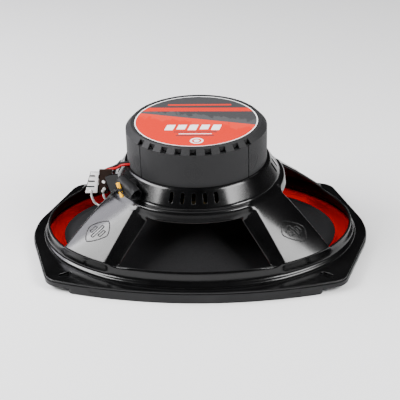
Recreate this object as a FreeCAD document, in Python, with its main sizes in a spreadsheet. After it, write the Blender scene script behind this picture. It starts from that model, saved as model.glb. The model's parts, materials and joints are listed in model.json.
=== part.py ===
"""Oval coaxial car loudspeaker, 6 x 9 inch class, standing on its front face.

X runs along the long axis of the oval, Y along the short one, Z out of the back.
The origin is the centre of the trim ring's front face.  Millimetres throughout.
"""
import FreeCAD, Part
import Sketcher
import math
import os
import re

from FreeCAD import Placement, Rotation, Vector

THROUGH = 2.0  # how far a cutting tool runs past the surface it leaves
ORIGIN = Vector(0, 0, 0)
LONG = Vector(1, 0, 0)
SHORT = Vector(0, 1, 0)
UP = Vector(0, 0, 1)

doc = FreeCAD.newDocument("coaxial_speaker")

# Driving dimensions: alias, value, meaning.
SIZES = [
    # flange and trim ring outline
    ("flange_half_length", 118.6, "half length of the flange over its end arcs"),
    ("flange_half_width", 84.0, "half width of the flange over its long arcs"),
    ("side_arc_radius", 308.0, "radius of each long side"),
    ("end_arc_half_chord", 22.0, "half chord of each end arc"),
    ("end_arc_rise", 4.2, "rise of each end arc"),
    ("ear_offset", 89.3, "distance of each ear centre from the short axis"),
    ("ear_radius", 12.2, "corner radius of each ear"),
    ("ring_overhang", 0.6, "how far the trim ring stands out past the flange"),
    ("flange_front", 6.5, "height of the flange's front face"),
    ("flange_rear", 8.0, "height of the flange's rear face"),
    ("ear_front", 3.5, "height of the front face of the trim ring's ears"),
    ("skirt_corner", 82.0, "half length of the skirt's straight front"),
    ("slot_offset_long", 87.2, "mounting slot centre along the long axis"),
    ("slot_offset_short", 62.0, "mounting slot centre along the short axis"),
    ("slot_length", 9.0, "mounting slot length, end to end"),
    ("slot_width", 5.0, "mounting slot width"),
    ("slot_angle", 33.0, "mounting slot direction, degrees from the long axis"),
    ("clip_offset_long", 66.5, "trim ring clip window centre along the long axis"),
    ("clip_length", 7.0, "clip window length"),
    ("clip_width", 5.0, "clip window width"),
    ("clip_depth", 3.0, "clip window depth"),
    ("clip_offset_short", 79.6, "trim ring clip window centre along the short axis"),
    ("opening_gap", 0.5, "gap between the surround's roll and the ring's opening"),
    ("recess_gap", 0.4, "gap around the surround's edge in its recess"),
    # basket
    ("sheet", 1.8, "wall thickness of the basket"),
    ("ridge_long", 112.0, "long half axis of the ridge on the flange"),
    ("ridge_short", 80.5, "short half axis of the ridge on the flange"),
    ("ridge_top", 10.0, "height of the ridge"),
    ("sill_long", 108.3, "long half axis of the window sill"),
    ("sill_short", 76.6, "short half axis of the window sill"),
    ("sill_top", 17.6, "height of the window sill"),
    ("shoulder_radius", 62.0, "radius of the shoulder that carries the spider ledge"),
    ("shoulder_bottom", 47.0, "height of the shoulder's lower edge"),
    ("ledge_top", 54.0, "height of the ledge"),
    ("ledge_radius", 59.0, "radius of the ledge's flat"),
    ("neck_foot_radius", 56.6, "radius of the neck at its foot"),
    ("neck_foot", 55.4, "height of the neck's foot"),
    ("neck_top_radius", 50.0, "radius of the neck at the motor"),
    ("basket_top", 66.0, "height of the face that carries the motor"),
    ("motor_face_thickness", 2.0, "thickness of the motor face"),
    ("motor_hole_radius", 22.0, "hole in the motor face"),
    ("spoke_rise", 2.2, "how far the spokes stand proud of the window frames"),
    ("spoke_sink", 0.4, "how far the spokes' skin dips at its two ends"),
    ("spoke_lap", 1.6, "how far the spokes run up over the shoulder"),
    ("spoke_run_in", 9.0, "how far a spoke's side lines run on towards the axis"),
    ("spoke_run_out", 30.0, "how far a spoke's side lines run on past the sill"),
    ("spoke_top_outer_x", 59.5, "spoke corner at the ledge, end window side"),
    ("spoke_top_outer_y", 22.0, "spoke corner at the ledge, end window side"),
    ("spoke_top_inner_x", 40.8, "spoke corner at the ledge, long window side"),
    ("spoke_top_inner_y", 48.4, "spoke corner at the ledge, long window side"),
    ("spoke_foot_outer_x", 89.0, "spoke corner at the sill, end window side"),
    ("spoke_foot_outer_y", 43.0, "spoke corner at the sill, end window side"),
    ("spoke_foot_inner_x", 57.1, "spoke corner at the sill, long window side"),
    ("spoke_foot_inner_y", 64.0, "spoke corner at the sill, long window side"),
    ("window_top", 46.5, "height of the long windows' top edge"),
    ("window_foot", 18.4, "height of the long windows' bottom edge"),
    ("window_top_half", 31.6, "half length of a long window's top edge"),
    ("window_foot_half", 50.7, "half length of a long window's bottom edge"),
    ("window_corner", 2.5, "corner radius of a long window"),
    ("vent_width", 2.5, "width of a vent slot in the neck"),
    ("vent_pitch", 8.0, "angle between vent slots in the neck, degrees"),
    ("vent_foot", 56.8, "height of the vent slots' lower end"),
    ("vent_top", 64.2, "height of the vent slots' upper end"),
    # motor
    ("plate_thickness", 6.0, "top plate thickness"),
    ("plate_radius", 43.0, "top plate radius"),
    ("gap_radius", 16.9, "bore of the top plate"),
    ("ferrite_thickness", 14.0, "ferrite ring thickness"),
    ("ferrite_radius", 44.5, "ferrite ring radius"),
    ("ferrite_bore", 23.0, "ferrite ring bore"),
    ("back_plate_thickness", 4.0, "back plate thickness"),
    ("back_plate_radius", 42.0, "back plate radius"),
    ("pole_radius", 14.6, "pole piece radius"),
    ("pole_bore", 4.05, "bore through the pole piece"),
    ("nut_pocket_radius", 7.0, "pocket for the post nut in the back plate"),
    ("nut_pocket_depth", 2.8, "depth of that pocket"),
    ("rivet_circle", 33.0, "radius of the circle of plate rivets"),
    ("rivet_radius", 1.95, "plate rivet shank radius"),
    ("rivet_head_radius", 3.4, "plate rivet head radius"),
    ("rivet_head_height", 1.2, "plate rivet head height"),
    # boot and label
    ("boot_radius", 48.3, "outer radius of the magnet boot"),
    ("boot_wall", 1.8, "wall thickness of the boot"),
    ("boot_shoulder", 89.2, "height where the boot's chamfer starts"),
    ("boot_top", 93.0, "top of the boot's rim"),
    ("boot_rim_radius", 44.6, "outer radius of the rim's flat"),
    ("label_radius", 42.0, "label radius"),
    ("label_thickness", 0.3, "label thickness"),
    ("label_recess", 0.6, "depth of the label's recess"),
    ("notch_width", 4.3, "width of a cooling notch in the boot"),
    ("notch_pitch", 12.0, "angle between cooling notches, degrees"),
    ("notch_depth", 3.4, "depth of a cooling notch, inwards"),
    ("notch_height", 3.6, "height of a cooling notch"),
    ("seam_angle", 47.7, "angle of each seam groove from the short axis, degrees"),
    ("seam_width", 0.8, "width of a seam groove"),
    ("seam_depth", 0.4, "depth of a seam groove"),
    ("boot_lid", 1.5, "thickness of the boot under the label"),
    ("label_gap", 0.4, "gap between the label and its recess"),
    # moving system
    ("surround_outer_long", 114.0, "long half axis of the surround's glued edge"),
    ("surround_outer_short", 82.0, "short half axis of the surround's glued edge"),
    ("surround_thickness", 0.8, "rubber thickness"),
    ("roll_outer_long", 109.2, "long half axis of the roll's outer edge"),
    ("roll_outer_short", 77.6, "short half axis of the roll's outer edge"),
    ("roll_width", 12.0, "width of the roll"),
    ("roll_depth", 4.2, "depth of the roll"),
    ("cone_lip", 4.0, "width of the cone's flat rim"),
    ("cone_thickness", 0.9, "paper thickness"),
    ("cone_neck", 38.0, "height of the cone's neck"),
    ("former_inner", 15.15, "inner radius of the voice coil former"),
    ("former_outer", 15.55, "outer radius of the voice coil former"),
    ("former_foot", 35.0, "front end of the former"),
    ("former_top", 76.0, "rear end of the former"),
    ("coil_outer", 16.35, "outer radius of the winding"),
    ("coil_foot", 62.5, "front end of the winding"),
    ("coil_top", 75.5, "rear end of the winding"),
    ("spider_height", 50.6, "middle height of the spider's cloth"),
    ("spider_thickness", 0.7, "spider cloth thickness"),
    ("spider_wave", 1.3, "height of each corrugation"),
    ("spider_pitch", 2.0, "half pitch of the corrugations"),
    ("spider_inner_land", 19.0, "radius where the corrugations start"),
    ("spider_outer", 58.2, "outer radius of the spider"),
    # tweeters
    ("post_radius", 5.5, "radius of the tweeter post"),
    ("post_spigot", 4.0, "radius of the post inside the pole piece"),
    ("post_bore", 1.6, "wire passage in the post"),
    ("nut_radius", 6.2, "corner radius of the post nut"),
    ("nut_height", 2.4, "height of the post nut"),
    ("pod_front", 4.0, "front face of the tweeter pod"),
    ("pod_rear", 19.0, "rear face of the tweeter pod"),
    ("pod_radius", 21.0, "radius of the pod around the main tweeter"),
    ("pod_wall", 1.6, "wall of the pod"),
    ("faceplate_thickness", 1.8, "thickness of the pod's front plate"),
    ("super_offset", 27.0, "distance of the second tweeter from the axis"),
    ("super_radius", 11.5, "radius of the pod around the second tweeter"),
    ("dome_radius", 9.5, "radius of the main tweeter's dome"),
    ("super_dome_radius", 5.0, "radius of the second tweeter's dome"),
    ("main_offset", 0, "distance of the main tweeter from the axis"),
    ("tweeter_sheet", 1.4, "thickness of the tweeters' cups and plates"),
    ("dome_skin", 0.35, "thickness of the domes"),
    ("main_front", 7.6, "front of the main tweeter's motor"),
    ("super_front", 7.0, "front of the second tweeter's motor"),
    # terminals and crossover
    ("board_outer", -68.5, "outer edge of the terminal board"),
    ("board_waist", -62.5, "inner edge of the terminal board below its step"),
    ("board_inner", -58.4, "inner edge of the terminal board above its step"),
    ("board_y", -11.2, "rear face of the terminal board"),
    ("board_thickness", 1.6, "terminal board thickness"),
    ("board_foot", 43.0, "lower edge of the terminal board"),
    ("board_step", 54.9, "height of the step that clears the ledge"),
    ("board_top", 61.5, "upper edge of the terminal board"),
    ("tab_thickness", 0.8, "terminal metal thickness"),
    ("tab_foot", 44.0, "lower edge of the comb-shaped tab"),
    ("tab_top", 60.2, "upper edge of the comb-shaped tab"),
    ("bracket_sheet", 1.2, "thickness of the terminal bracket"),
    ("bracket_foot", 54.5, "lower edge of the bracket's wall"),
    ("capacitor_radius", 4.3, "radius of the crossover capacitor"),
    ("sleeve_radius", 4.9, "outer radius of its sleeve"),
    ("sleeve_length", 17.9, "length of its sleeve"),
    ("thin_lead_radius", 0.45, "radius of the lead between the capacitors"),
    ("lead_radius", 0.9, "radius of an insulated lead and of a tinsel lead"),
    ("eyelet_x", -28.5, "cone eyelets along the long axis"),
    ("eyelet_y", 6.0, "cone eyelets along the short axis"),
]

sheet = doc.addObject("Spreadsheet::Sheet", "sizes")
for row, (alias, value, meaning) in enumerate(SIZES, start=1):
    sheet.set(f"A{row}", alias)
    sheet.set(f"B{row}", str(value))
    sheet.set(f"C{row}", meaning)
    sheet.setAlias(f"B{row}", alias)
doc.recompute()


# ---------------------------------------------------------------- helpers
def ref(text):
    """Turn bare aliases in an expression into references to the sheet."""
    return re.sub(r"\b([a-z]\w*)", r"sizes.\1", str(text))


def size(text):
    """The present value of an expression of sheet aliases."""
    return float(sheet.evalExpression(ref(text)))


def bind(item, **expressions):
    """Bind properties of a document object to sheet expressions."""
    for name, text in expressions.items():
        item.setExpression(name.replace("__", "."), ref(text))
    return item


def add(kind, name, **expressions):
    """Add an object and bind its properties."""
    return bind(doc.addObject(kind, name), **expressions)


def feature(name, shape):
    """A shape that is made directly with Part."""
    item = doc.addObject("Part::Feature", name)
    item.Shape = shape
    return item


def cut(name, base, tool):
    """Base minus tool."""
    result = doc.addObject("Part::Cut", name)
    result.Base = base
    result.Tool = tool
    return result


def fuse(name, items):
    """Union of several objects."""
    result = doc.addObject("Part::MultiFuse", name)
    result.Shapes = items
    return result


def common(name, base, tool):
    """Intersection of two objects."""
    result = doc.addObject("Part::Common", name)
    result.Base = base
    result.Tool = tool
    return result


def profile_sketch(body, plane_role, corners):
    """Closed polyline on one of the body's planes, every corner bound to the sheet."""
    sketch = body.newObject("Sketcher::SketchObject", body.Name + "_profile")
    plane = next(f for f in body.Origin.OriginFeatures if f.Role == plane_role)
    sketch.AttachmentSupport = [(plane, "")]
    sketch.MapMode = "FlatFace"
    spots = [Vector(size(across), size(along), 0) for across, along in corners]
    count = len(spots)
    for i in range(count):
        sketch.addGeometry(Part.LineSegment(spots[i], spots[(i + 1) % count]), False)
    for i in range(count):
        sketch.addConstraint(Sketcher.Constraint("Coincident", i, 2, (i + 1) % count, 1))
    for i, corner in enumerate(corners):
        across, upward = corner
        for letter, kind, axis, text in (("x", "DistanceX", -2, across), ("y", "DistanceY", -1, upward)):
            if text == 0:
                sketch.addConstraint(Sketcher.Constraint("PointOnObject", i, 1, axis))
                continue
            index = sketch.addConstraint(Sketcher.Constraint(kind, -1, 1, i, 1, size(text)))
            sketch.renameConstraint(index, f"{letter}{i}")
            sketch.setExpression(f"Constraints.{letter}{i}", ref(text))
    return sketch


def turned(name, corners):
    """Body of revolution about Z from (radius, height) corners."""
    body = doc.addObject("PartDesign::Body", name)
    sketch = profile_sketch(body, "XZ_Plane", corners)
    turn = body.newObject("PartDesign::Revolution", name + "_turn")
    turn.Profile = sketch
    turn.ReferenceAxis = (sketch, ["V_Axis"])
    turn.Angle = 360
    body.Tip = turn
    return body


def ring(name, inner, outer, foot, top):
    """Plain tube or washer about Z."""
    return turned(name, [(inner, foot), (outer, foot), (outer, top), (inner, top)])


def padded(name, plane_role, corners, length, offset=0, midplane=False):
    """Body padded from a polygon on an origin plane."""
    body = doc.addObject("PartDesign::Body", name)
    sketch = profile_sketch(body, plane_role, corners)
    if offset:
        sketch.setExpression("AttachmentOffset.Base.z", ref(offset))
    pad = body.newObject("PartDesign::Pad", name + "_pad")
    pad.Profile = sketch
    pad.setExpression("Length", ref(length))
    pad.Midplane = midplane
    body.Tip = pad
    return body


def ellipse(name, long_axis, short_axis, height):
    """Ellipse in a horizontal plane, long axis along X."""
    item = add("Part::Ellipse", name, MajorRadius=long_axis, MinorRadius=short_axis)
    return bind(item, Placement__Base__z=height)


def circle(name, radius, height):
    """Circle in a horizontal plane."""
    return bind(add("Part::Circle", name, Radius=radius), Placement__Base__z=height)


def loft(name, sections, ruled=True):
    """Solid through horizontal sections."""
    result = doc.addObject("Part::Loft", name)
    result.Sections = sections
    result.Solid = True
    result.Ruled = ruled
    return result


def oval_prism(name, long_axis, short_axis, foot, top):
    """Straight elliptical prism."""
    return loft(name, [ellipse(name + "_foot", long_axis, short_axis, foot),
                       ellipse(name + "_top", long_axis, short_axis, top)])


def placed(item, position, turn_axis, angle):
    """Give an object its place."""
    item.Placement = Placement(Vector(*position), Rotation(turn_axis, angle))
    return item


def compound(name, shapes):
    """Several shapes kept as one object."""
    return feature(name, Part.makeCompound(shapes))


def copies(name, source, placements):
    """Several separate or joined copies of one object's shape."""
    shapes = []
    doc.recompute()
    for placement in placements:
        shape = source.Shape.copy()
        shape.Placement = placement.multiply(shape.Placement)
        shapes.append(shape)
    return compound(name, shapes)


def around_z(angle):
    """Turn about Z."""
    return Placement(ORIGIN, Rotation(UP, angle))


def bar(name, low, spans):
    """Box from its low corner and its three lengths, as sheet expressions."""
    item = add("Part::Box", name, Length=spans[0], Width=spans[1], Height=spans[2])
    return bind(item, Placement__Base__x=low[0], Placement__Base__y=low[1], Placement__Base__z=low[2])


def tube_along(points, radius):
    """Round lead along straight runs joined by tangent arcs, arc radii from the runs beside them."""
    spots = [Vector(*p) for p in points]
    edges = []
    radii = []
    start = spots[0]
    for before, corner, after in zip(spots, spots[1:], spots[2:]):
        inward = (before - corner).normalize()
        outward = (after - corner).normalize()
        half_turn = (math.pi - inward.getAngle(outward)) / 2
        reach = 0.45 * min((before - corner).Length, (after - corner).Length)
        radii.append(reach / math.tan(half_turn))
        entry = corner + inward * reach
        leave = corner + outward * reach
        middle_line = (inward + outward).normalize()
        middle = corner + middle_line * (radii[-1] / math.cos(half_turn) - radii[-1])
        edges.append(Part.LineSegment(start, entry).toShape())
        edges.append(Part.Arc(entry, middle, leave).toShape())
        start = leave
    edges.append(Part.LineSegment(start, spots[-1]).toShape())
    path = Part.Wire(edges)
    section = Part.Wire([Part.Circle(spots[0], spots[1] - spots[0], radius).toShape()])
    solid = path.makePipeShell([section], True, False)
    expected = math.pi * radius ** 2 * path.Length
    print(f"lead of {path.Length:.1f} mm, radii {[round(r, 1) for r in radii]},"
          f" volume over expected {solid.Volume / expected:.3f}")
    return solid


# ---------------------------------------------------------------- outlines in plan
def flange_outline(grow):
    """Closed wire: long side arcs, rounded ears, straight diagonals and end arcs."""
    half_length = size("flange_half_length") + grow
    half_width = size("flange_half_width") + grow
    side_radius = size("side_arc_radius")
    ear_radius = size("ear_radius") + grow
    ear_x = size("ear_offset")
    side_centre = half_width - side_radius
    ear_y = side_centre + math.sqrt((side_radius - ear_radius) ** 2 - ear_x ** 2)
    side_angle = math.atan2(ear_y - side_centre, ear_x)
    end_y = size("end_arc_half_chord")
    end_x = half_length - size("end_arc_rise")
    reach = math.hypot(end_x - ear_x, end_y - ear_y)
    to_end = math.atan2(end_y - ear_y, end_x - ear_x)
    touch = to_end + math.acos(ear_radius / reach)
    middle = (touch + side_angle) / 2

    def on_ear(angle, sx, sy):
        across = ear_x + ear_radius * math.cos(angle)
        upward = ear_y + ear_radius * math.sin(angle)
        return Vector(sx * across, sy * upward, 0)

    curves = []
    for sx in (1, -1):
        ends = [Vector(sx * end_x, sy * end_y, 0) for sy in (1, -1)]
        curves.append(Part.Arc(ends[1], Vector(sx * half_length, 0, 0), ends[0]))
        for sy, end in zip((1, -1), ends):
            curves.append(Part.LineSegment(end, on_ear(touch, sx, sy)))
            curves.append(Part.Arc(on_ear(touch, sx, sy), on_ear(middle, sx, sy), on_ear(side_angle, sx, sy)))
    for sy in (1, -1):
        middle_side = Vector(0, sy * half_width, 0)
        curves.append(Part.Arc(on_ear(side_angle, 1, sy), middle_side, on_ear(side_angle, -1, sy)))
    return Part.Wire(Part.__sortEdges__([curve.toShape() for curve in curves]))


def outline_plate(name, grow, foot, top):
    """Plate with the flange's outline."""
    face = Part.Face(flange_outline(grow))
    face.translate(Vector(0, 0, foot))
    return feature(name, face.extrude(Vector(0, 0, top - foot)))


def four_corners(centre_x, centre_y, angle):
    """Placements of one feature mirrored into the four corners."""
    places = []
    for sx in (1, -1):
        for sy in (1, -1):
            places.append(Placement(Vector(sx * centre_x, sy * centre_y, 0), Rotation(UP, sx * sy * angle)))
    return places


def mounting_slots():
    """Four slanted slots that go right through the flange and the ring."""
    radius = size("slot_width") / 2
    half = size("slot_length") / 2 - radius
    foot = -THROUGH
    height = size("flange_rear") + 2 * THROUGH
    block = Part.makeBox(2 * half, 2 * radius, height, Vector(-half, -radius, foot))
    ends = [Part.makeCylinder(radius, height, Vector(s * half, 0, foot)) for s in (-1, 1)]
    slot = feature("slot", block.fuse(ends).removeSplitter())
    places = four_corners(size("slot_offset_long"), size("slot_offset_short"), size("slot_angle"))
    return copies("mounting_slots", slot, places)


slots = mounting_slots()


# ---------------------------------------------------------------- basket
def hull(name, offset, drop, top_offset):
    """Body of the basket between the flange and the shoulder, offset inwards."""
    ridge = (f"ridge_long - {offset}", f"ridge_short - {offset}")
    sections = [
        ellipse(name + "_a", *ridge, f"flange_rear - {drop}"),
        ellipse(name + "_b", *ridge, f"ridge_top - {top_offset}"),
        ellipse(name + "_c", f"sill_long - {offset}", f"sill_short - {offset}", f"sill_top - {top_offset}"),
        circle(name + "_d", f"shoulder_radius - {offset}", f"shoulder_bottom - {top_offset}"),
    ]
    return loft(name, sections)


def raised_hull():
    """The surface of the spokes, proud of the window frames."""
    sections = [
        ellipse("spoke_skin_a", "sill_long + spoke_rise", "sill_short + spoke_rise", "sill_top - spoke_sink"),
        circle("spoke_skin_b", "shoulder_radius + spoke_rise - spoke_sink", "shoulder_bottom + spoke_lap"),
    ]
    return loft("spoke_skin", sections)


def along(start, end, before, after):
    """The line through two plan points, run out at both ends."""
    direction = (end - start).normalize()
    return start - direction * before, end + direction * after


def spoke_lines():
    """Plan lines of a spoke's two edges in the first quadrant."""
    def corner(name):
        return Vector(size(f"spoke_{name}_x"), size(f"spoke_{name}_y"), 0)
    before, after = size("spoke_run_in"), size("spoke_run_out")
    outer = along(corner("top_outer"), corner("foot_outer"), before, after)
    inner = along(corner("top_inner"), corner("foot_inner"), before, after)
    return outer, inner


def prism(points, foot, top):
    """Vertical prism over a plan polygon."""
    wire = Part.makePolygon([p + Vector(0, 0, foot) for p in points + points[:1]])
    return Part.Face(wire).extrude(Vector(0, 0, top - foot))


def mirrored(vector, sx, sy):
    """A plan point mirrored into another quadrant."""
    return Vector(sx * vector.x, sy * vector.y, vector.z)


def spokes():
    """Four raised spokes."""
    outer, inner = spoke_lines()
    foot = size("sill_top - 3.0")
    top = size("shoulder_bottom + spoke_lap - spoke_sink")
    wedges = []
    for sx in (1, -1):
        for sy in (1, -1):
            corners = [mirrored(p, sx, sy) for p in (outer[0], outer[1], inner[1], inner[0])]
            wedges.append(prism(corners, foot, top))
    return common("spokes", raised_hull(), compound("spoke_wedges", wedges))


def end_windows():
    """The two openings at the ends, between the spokes."""
    outer = spoke_lines()[0]
    reach = size("flange_half_length + 5")
    blocks = []
    for sx in (1, -1):
        upper = [outer[0], outer[1], Vector(reach, outer[1].y, 0)]
        lower = [mirrored(p, 1, -1) for p in reversed(upper)]
        corners = [mirrored(p, sx, 1) for p in upper + lower]
        blocks.append(prism(corners, size("sill_top"), size("shoulder_bottom")))
    return compound("end_windows", blocks)


def long_windows():
    """The two openings on the long sides, cut as one trapezoid with rounded corners."""
    reach = size("flange_half_width + 5")
    foot = [Vector(s * size("window_foot_half"), -reach, size("window_foot")) for s in (-1, 1)]
    top = [Vector(s * size("window_top_half"), -reach, size("window_top")) for s in (1, -1)]
    outline = Part.makePolygon(foot + top + foot[:1])
    block = Part.Face(outline).extrude(SHORT * 2 * reach)
    upright = [e for e in block.Edges if abs(e.tangentAt(e.FirstParameter).y) > 0.99]
    return feature("long_windows", block.makeFillet(size("window_corner"), upright))


def neck_vents():
    """Slots in the neck: five at front and rear, three at each end."""
    inward, upward = size("neck_foot_radius - neck_top_radius"), size("basket_top - neck_foot")
    slant = math.degrees(math.atan2(inward, upward))
    width = size("vent_width")
    height = size("vent_top - vent_foot")
    radius = (size("neck_foot_radius") + size("neck_top_radius")) / 2
    depth = 14.0
    straight = height - width
    block = Part.makeBox(width, depth, straight, Vector(-width / 2, -depth / 2, -straight / 2))
    ends = [Part.makeCylinder(width / 2, depth, Vector(0, -depth / 2, s * straight / 2), SHORT)
            for s in (-1, 1)]
    slot = block.fuse(ends).removeSplitter()
    slot.rotate(ORIGIN, LONG, -slant)
    slot.translate(Vector(0, -radius, size("vent_foot + vent_top") / 2))
    vents = []
    for middle, count in ((0, 5), (90, 3), (180, 5), (270, 3)):
        for i in range(count):
            vent = slot.copy()
            angle = middle + (i - (count - 1) / 2) * size("vent_pitch")
            vent.rotate(ORIGIN, UP, angle)
            vents.append(vent)
    return compound("neck_vents", vents)


def rivet_places():
    """Four rivets on the motor face."""
    return [around_z(45 + 90 * i) for i in range(4)]


def rivet_holes():
    """Holes for the plate rivets, through the motor face and the top plate."""
    hole = add("Part::Cylinder", "rivet_hole", Radius="rivet_radius + 0.05", Height="12")
    bind(hole, Placement__Base__x="rivet_circle", Placement__Base__z="basket_top - 3")
    return copies("rivet_holes", hole, rivet_places())


rivet_bores = rivet_holes()


def basket():
    """Pressed frame: flange, ridge, sill, spokes, ledge, neck and motor face."""
    flange = outline_plate("flange_plate", 0, size("flange_front"), size("flange_rear"))
    neck = turned("neck_solid", [
        (0, "shoulder_bottom - 2"), ("shoulder_radius", "shoulder_bottom - 2"),
        ("shoulder_radius", "ledge_top - 4"), ("shoulder_radius - 1.2", "ledge_top - 1.6"),
        ("ledge_radius", "ledge_top"), ("neck_foot_radius + 0.7", "ledge_top + 0.4"),
        ("neck_foot_radius", "neck_foot"), ("neck_top_radius + 0.6", "basket_top - 1"),
        ("neck_top_radius", "basket_top"), (0, "basket_top")])
    outside = fuse("basket_outside", [flange, hull("hull_outside", 0, 0.6, 0), spokes(), neck])
    hollow = turned("neck_hollow", [
        (0, "shoulder_bottom - 4"), ("shoulder_radius - sheet", "shoulder_bottom - 4"),
        ("shoulder_radius - sheet", "ledge_top - 4"), ("shoulder_radius - 3.2", "ledge_top - 2"),
        ("neck_foot_radius - sheet", "ledge_top - 2"), ("neck_foot_radius - sheet - 0.4", "neck_foot"),
        ("neck_top_radius - sheet", "basket_top - motor_face_thickness"),
        ("motor_hole_radius", "basket_top - motor_face_thickness"), ("motor_hole_radius", "basket_top + 2"),
        (0, "basket_top + 2")])
    hollow_hull = hull("hull_inside", "sheet", 4.0, 0.9)
    openings = [end_windows(), long_windows(), slots, neck_vents(), rivet_bores]
    inside = fuse("basket_inside", [hollow_hull, hollow] + openings)
    return cut("basket", outside, inside)


# ---------------------------------------------------------------- trim ring
def skirt_outline():
    """The deep part of the trim ring: the oval without its ears."""
    corner = size("skirt_corner")
    reach = size("flange_half_length") - 0.8
    height = size("flange_front")
    plate = Part.Face(flange_outline(size("ring_overhang"))).extrude(UP * height)
    quarter = [Vector(reach, 0, 0), Vector(reach - 4.6, 23, 0), Vector(103, 45, 0), Vector(corner + 2, 68, 0),
               Vector(corner, 95, 0)]
    half = quarter + [mirrored(p, -1, 1) for p in reversed(quarter)]
    other_half = [mirrored(p, 1, -1) for p in reversed(half)]
    limits = prism(half + other_half[1:-1], 0, height)
    skirt = plate.common(limits)
    upright = [e for e in skirt.Edges if abs(e.tangentAt(e.FirstParameter).z) > 0.9]
    corners = [e for e in upright
               if abs(abs(e.CenterOfMass.x) - corner) < 3 and abs(abs(e.CenterOfMass.y) - 74) < 3]
    return skirt.makeFillet(3.0, corners)


def trim_ring():
    """Plastic ring on the front: ears, skirt, recess for the surround and clip windows."""
    ears = outline_plate("trim_plate", size("ring_overhang"), size("ear_front"), size("flange_front"))
    skirt = feature("trim_skirt", skirt_outline())
    opening = oval_prism("trim_opening", "roll_outer_long + opening_gap", "roll_outer_short + opening_gap",
                         "-1", "flange_front + 1")
    recess = oval_prism("trim_recess", "surround_outer_long + recess_gap",
                        "surround_outer_short + recess_gap",
                        "flange_front - surround_thickness", "flange_front + 1")
    length, width, depth = size("clip_length"), size("clip_width"), size("clip_depth")
    offset = size("clip_offset_long")
    tilt = math.degrees(math.asin(offset / size("side_arc_radius")))
    clips = []
    for sx in (1, -1):
        for sy in (1, -1):
            clip = Part.makeBox(length, width, depth, Vector(-length / 2, -width / 2, 0))
            clip.rotate(ORIGIN, UP, -sx * sy * tilt)
            clip.translate(Vector(sx * offset, sy * size("clip_offset_short"), size("flange_front") - depth))
            clips.append(clip)
    windows = compound("clip_windows", clips)
    blank = fuse("trim_blank", [ears, skirt])
    return cut("trim_ring", blank, fuse("trim_cuts", [opening, recess, windows, slots]))


# ---------------------------------------------------------------- motor
def plate_rivets():
    """Four rivets that hold the top plate on the basket."""
    head = add("Part::Cylinder", "rivet_head", Radius="rivet_head_radius", Height="rivet_head_height")
    bind(head, Placement__Base__x="rivet_circle",
         Placement__Base__z="basket_top - motor_face_thickness - rivet_head_height")
    shank = add("Part::Cylinder", "rivet_shank", Radius="rivet_radius",
                Height="motor_face_thickness + plate_thickness - 0.5")
    bind(shank, Placement__Base__x="rivet_circle", Placement__Base__z="basket_top - motor_face_thickness")
    return copies("plate_rivets", fuse("one_rivet", [head, shank]), rivet_places())


def top_plate():
    """Steel washer that forms the outside of the gap."""
    rear = "basket_top + plate_thickness"
    blank = ring("top_plate_blank", "gap_radius", "plate_radius", "basket_top", rear)
    return cut("top_plate", blank, rivet_bores)


def yoke():
    """Back plate and pole piece in one steel part."""
    foot = "basket_top + plate_thickness + ferrite_thickness"
    rear = foot + " + back_plate_thickness"
    return turned("pole_yoke", [
        ("pole_bore", "basket_top - 0.5"), ("pole_radius", "basket_top - 0.5"), ("pole_radius", foot),
        ("back_plate_radius", foot), ("back_plate_radius", rear + " - 1"), ("back_plate_radius - 1", rear),
        ("nut_pocket_radius", rear), ("nut_pocket_radius", rear + " - nut_pocket_depth"),
        ("pole_bore", rear + " - nut_pocket_depth")])


def boot_notches():
    """Nine cooling notches in the chamfer of each long side, and two seam grooves beside them."""
    width, depth, height = size("notch_width"), size("notch_depth"), size("notch_height")
    radius = size("boot_radius")
    groove_width, groove_depth = size("seam_width"), size("seam_depth")
    tools = []
    for side in (0, 180):
        for i in range(-4, 5):
            corner = Vector(-width / 2, -radius - 1, size("boot_top") - 4.4)
            notch = Part.makeBox(width, depth + 1, height, corner)
            notch.rotate(ORIGIN, UP, side + i * size("notch_pitch"))
            tools.append(notch)
        for sign in (-1, 1):
            corner = Vector(-groove_width / 2, -radius - groove_depth, size("basket_top") - THROUGH)
            groove = Part.makeBox(groove_width, 3 * groove_depth, 40, corner)
            groove.rotate(ORIGIN, UP, side + sign * size("seam_angle"))
            tools.append(groove)
    return tools


def wire_hole():
    """Hole for the two tweeter leads in the foot of the boot's left wall, in line with the leads."""
    return Part.makeBox(12, 6.8, 4.0, Vector(-52.0, -18.0, size("basket_top") - 1))


def magnet_boot():
    """Moulded cap over the magnet."""
    floor = "boot_top - label_recess"
    blank = turned("boot_blank", [
        ("boot_radius - boot_wall", "basket_top"), ("boot_radius", "basket_top"),
        ("boot_radius", "boot_shoulder"), ("boot_rim_radius", "boot_top"),
        ("label_radius + label_gap", "boot_top"), ("label_radius + label_gap", floor), (0, floor),
        (0, floor + " - boot_lid"),
        ("boot_rim_radius - 1.6", floor + " - boot_lid"), ("boot_radius - boot_wall", "boot_shoulder - 1.6")])
    tools = compound("boot_cuts", boot_notches() + [wire_hole()])
    return cut("magnet_boot", blank, tools)


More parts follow.
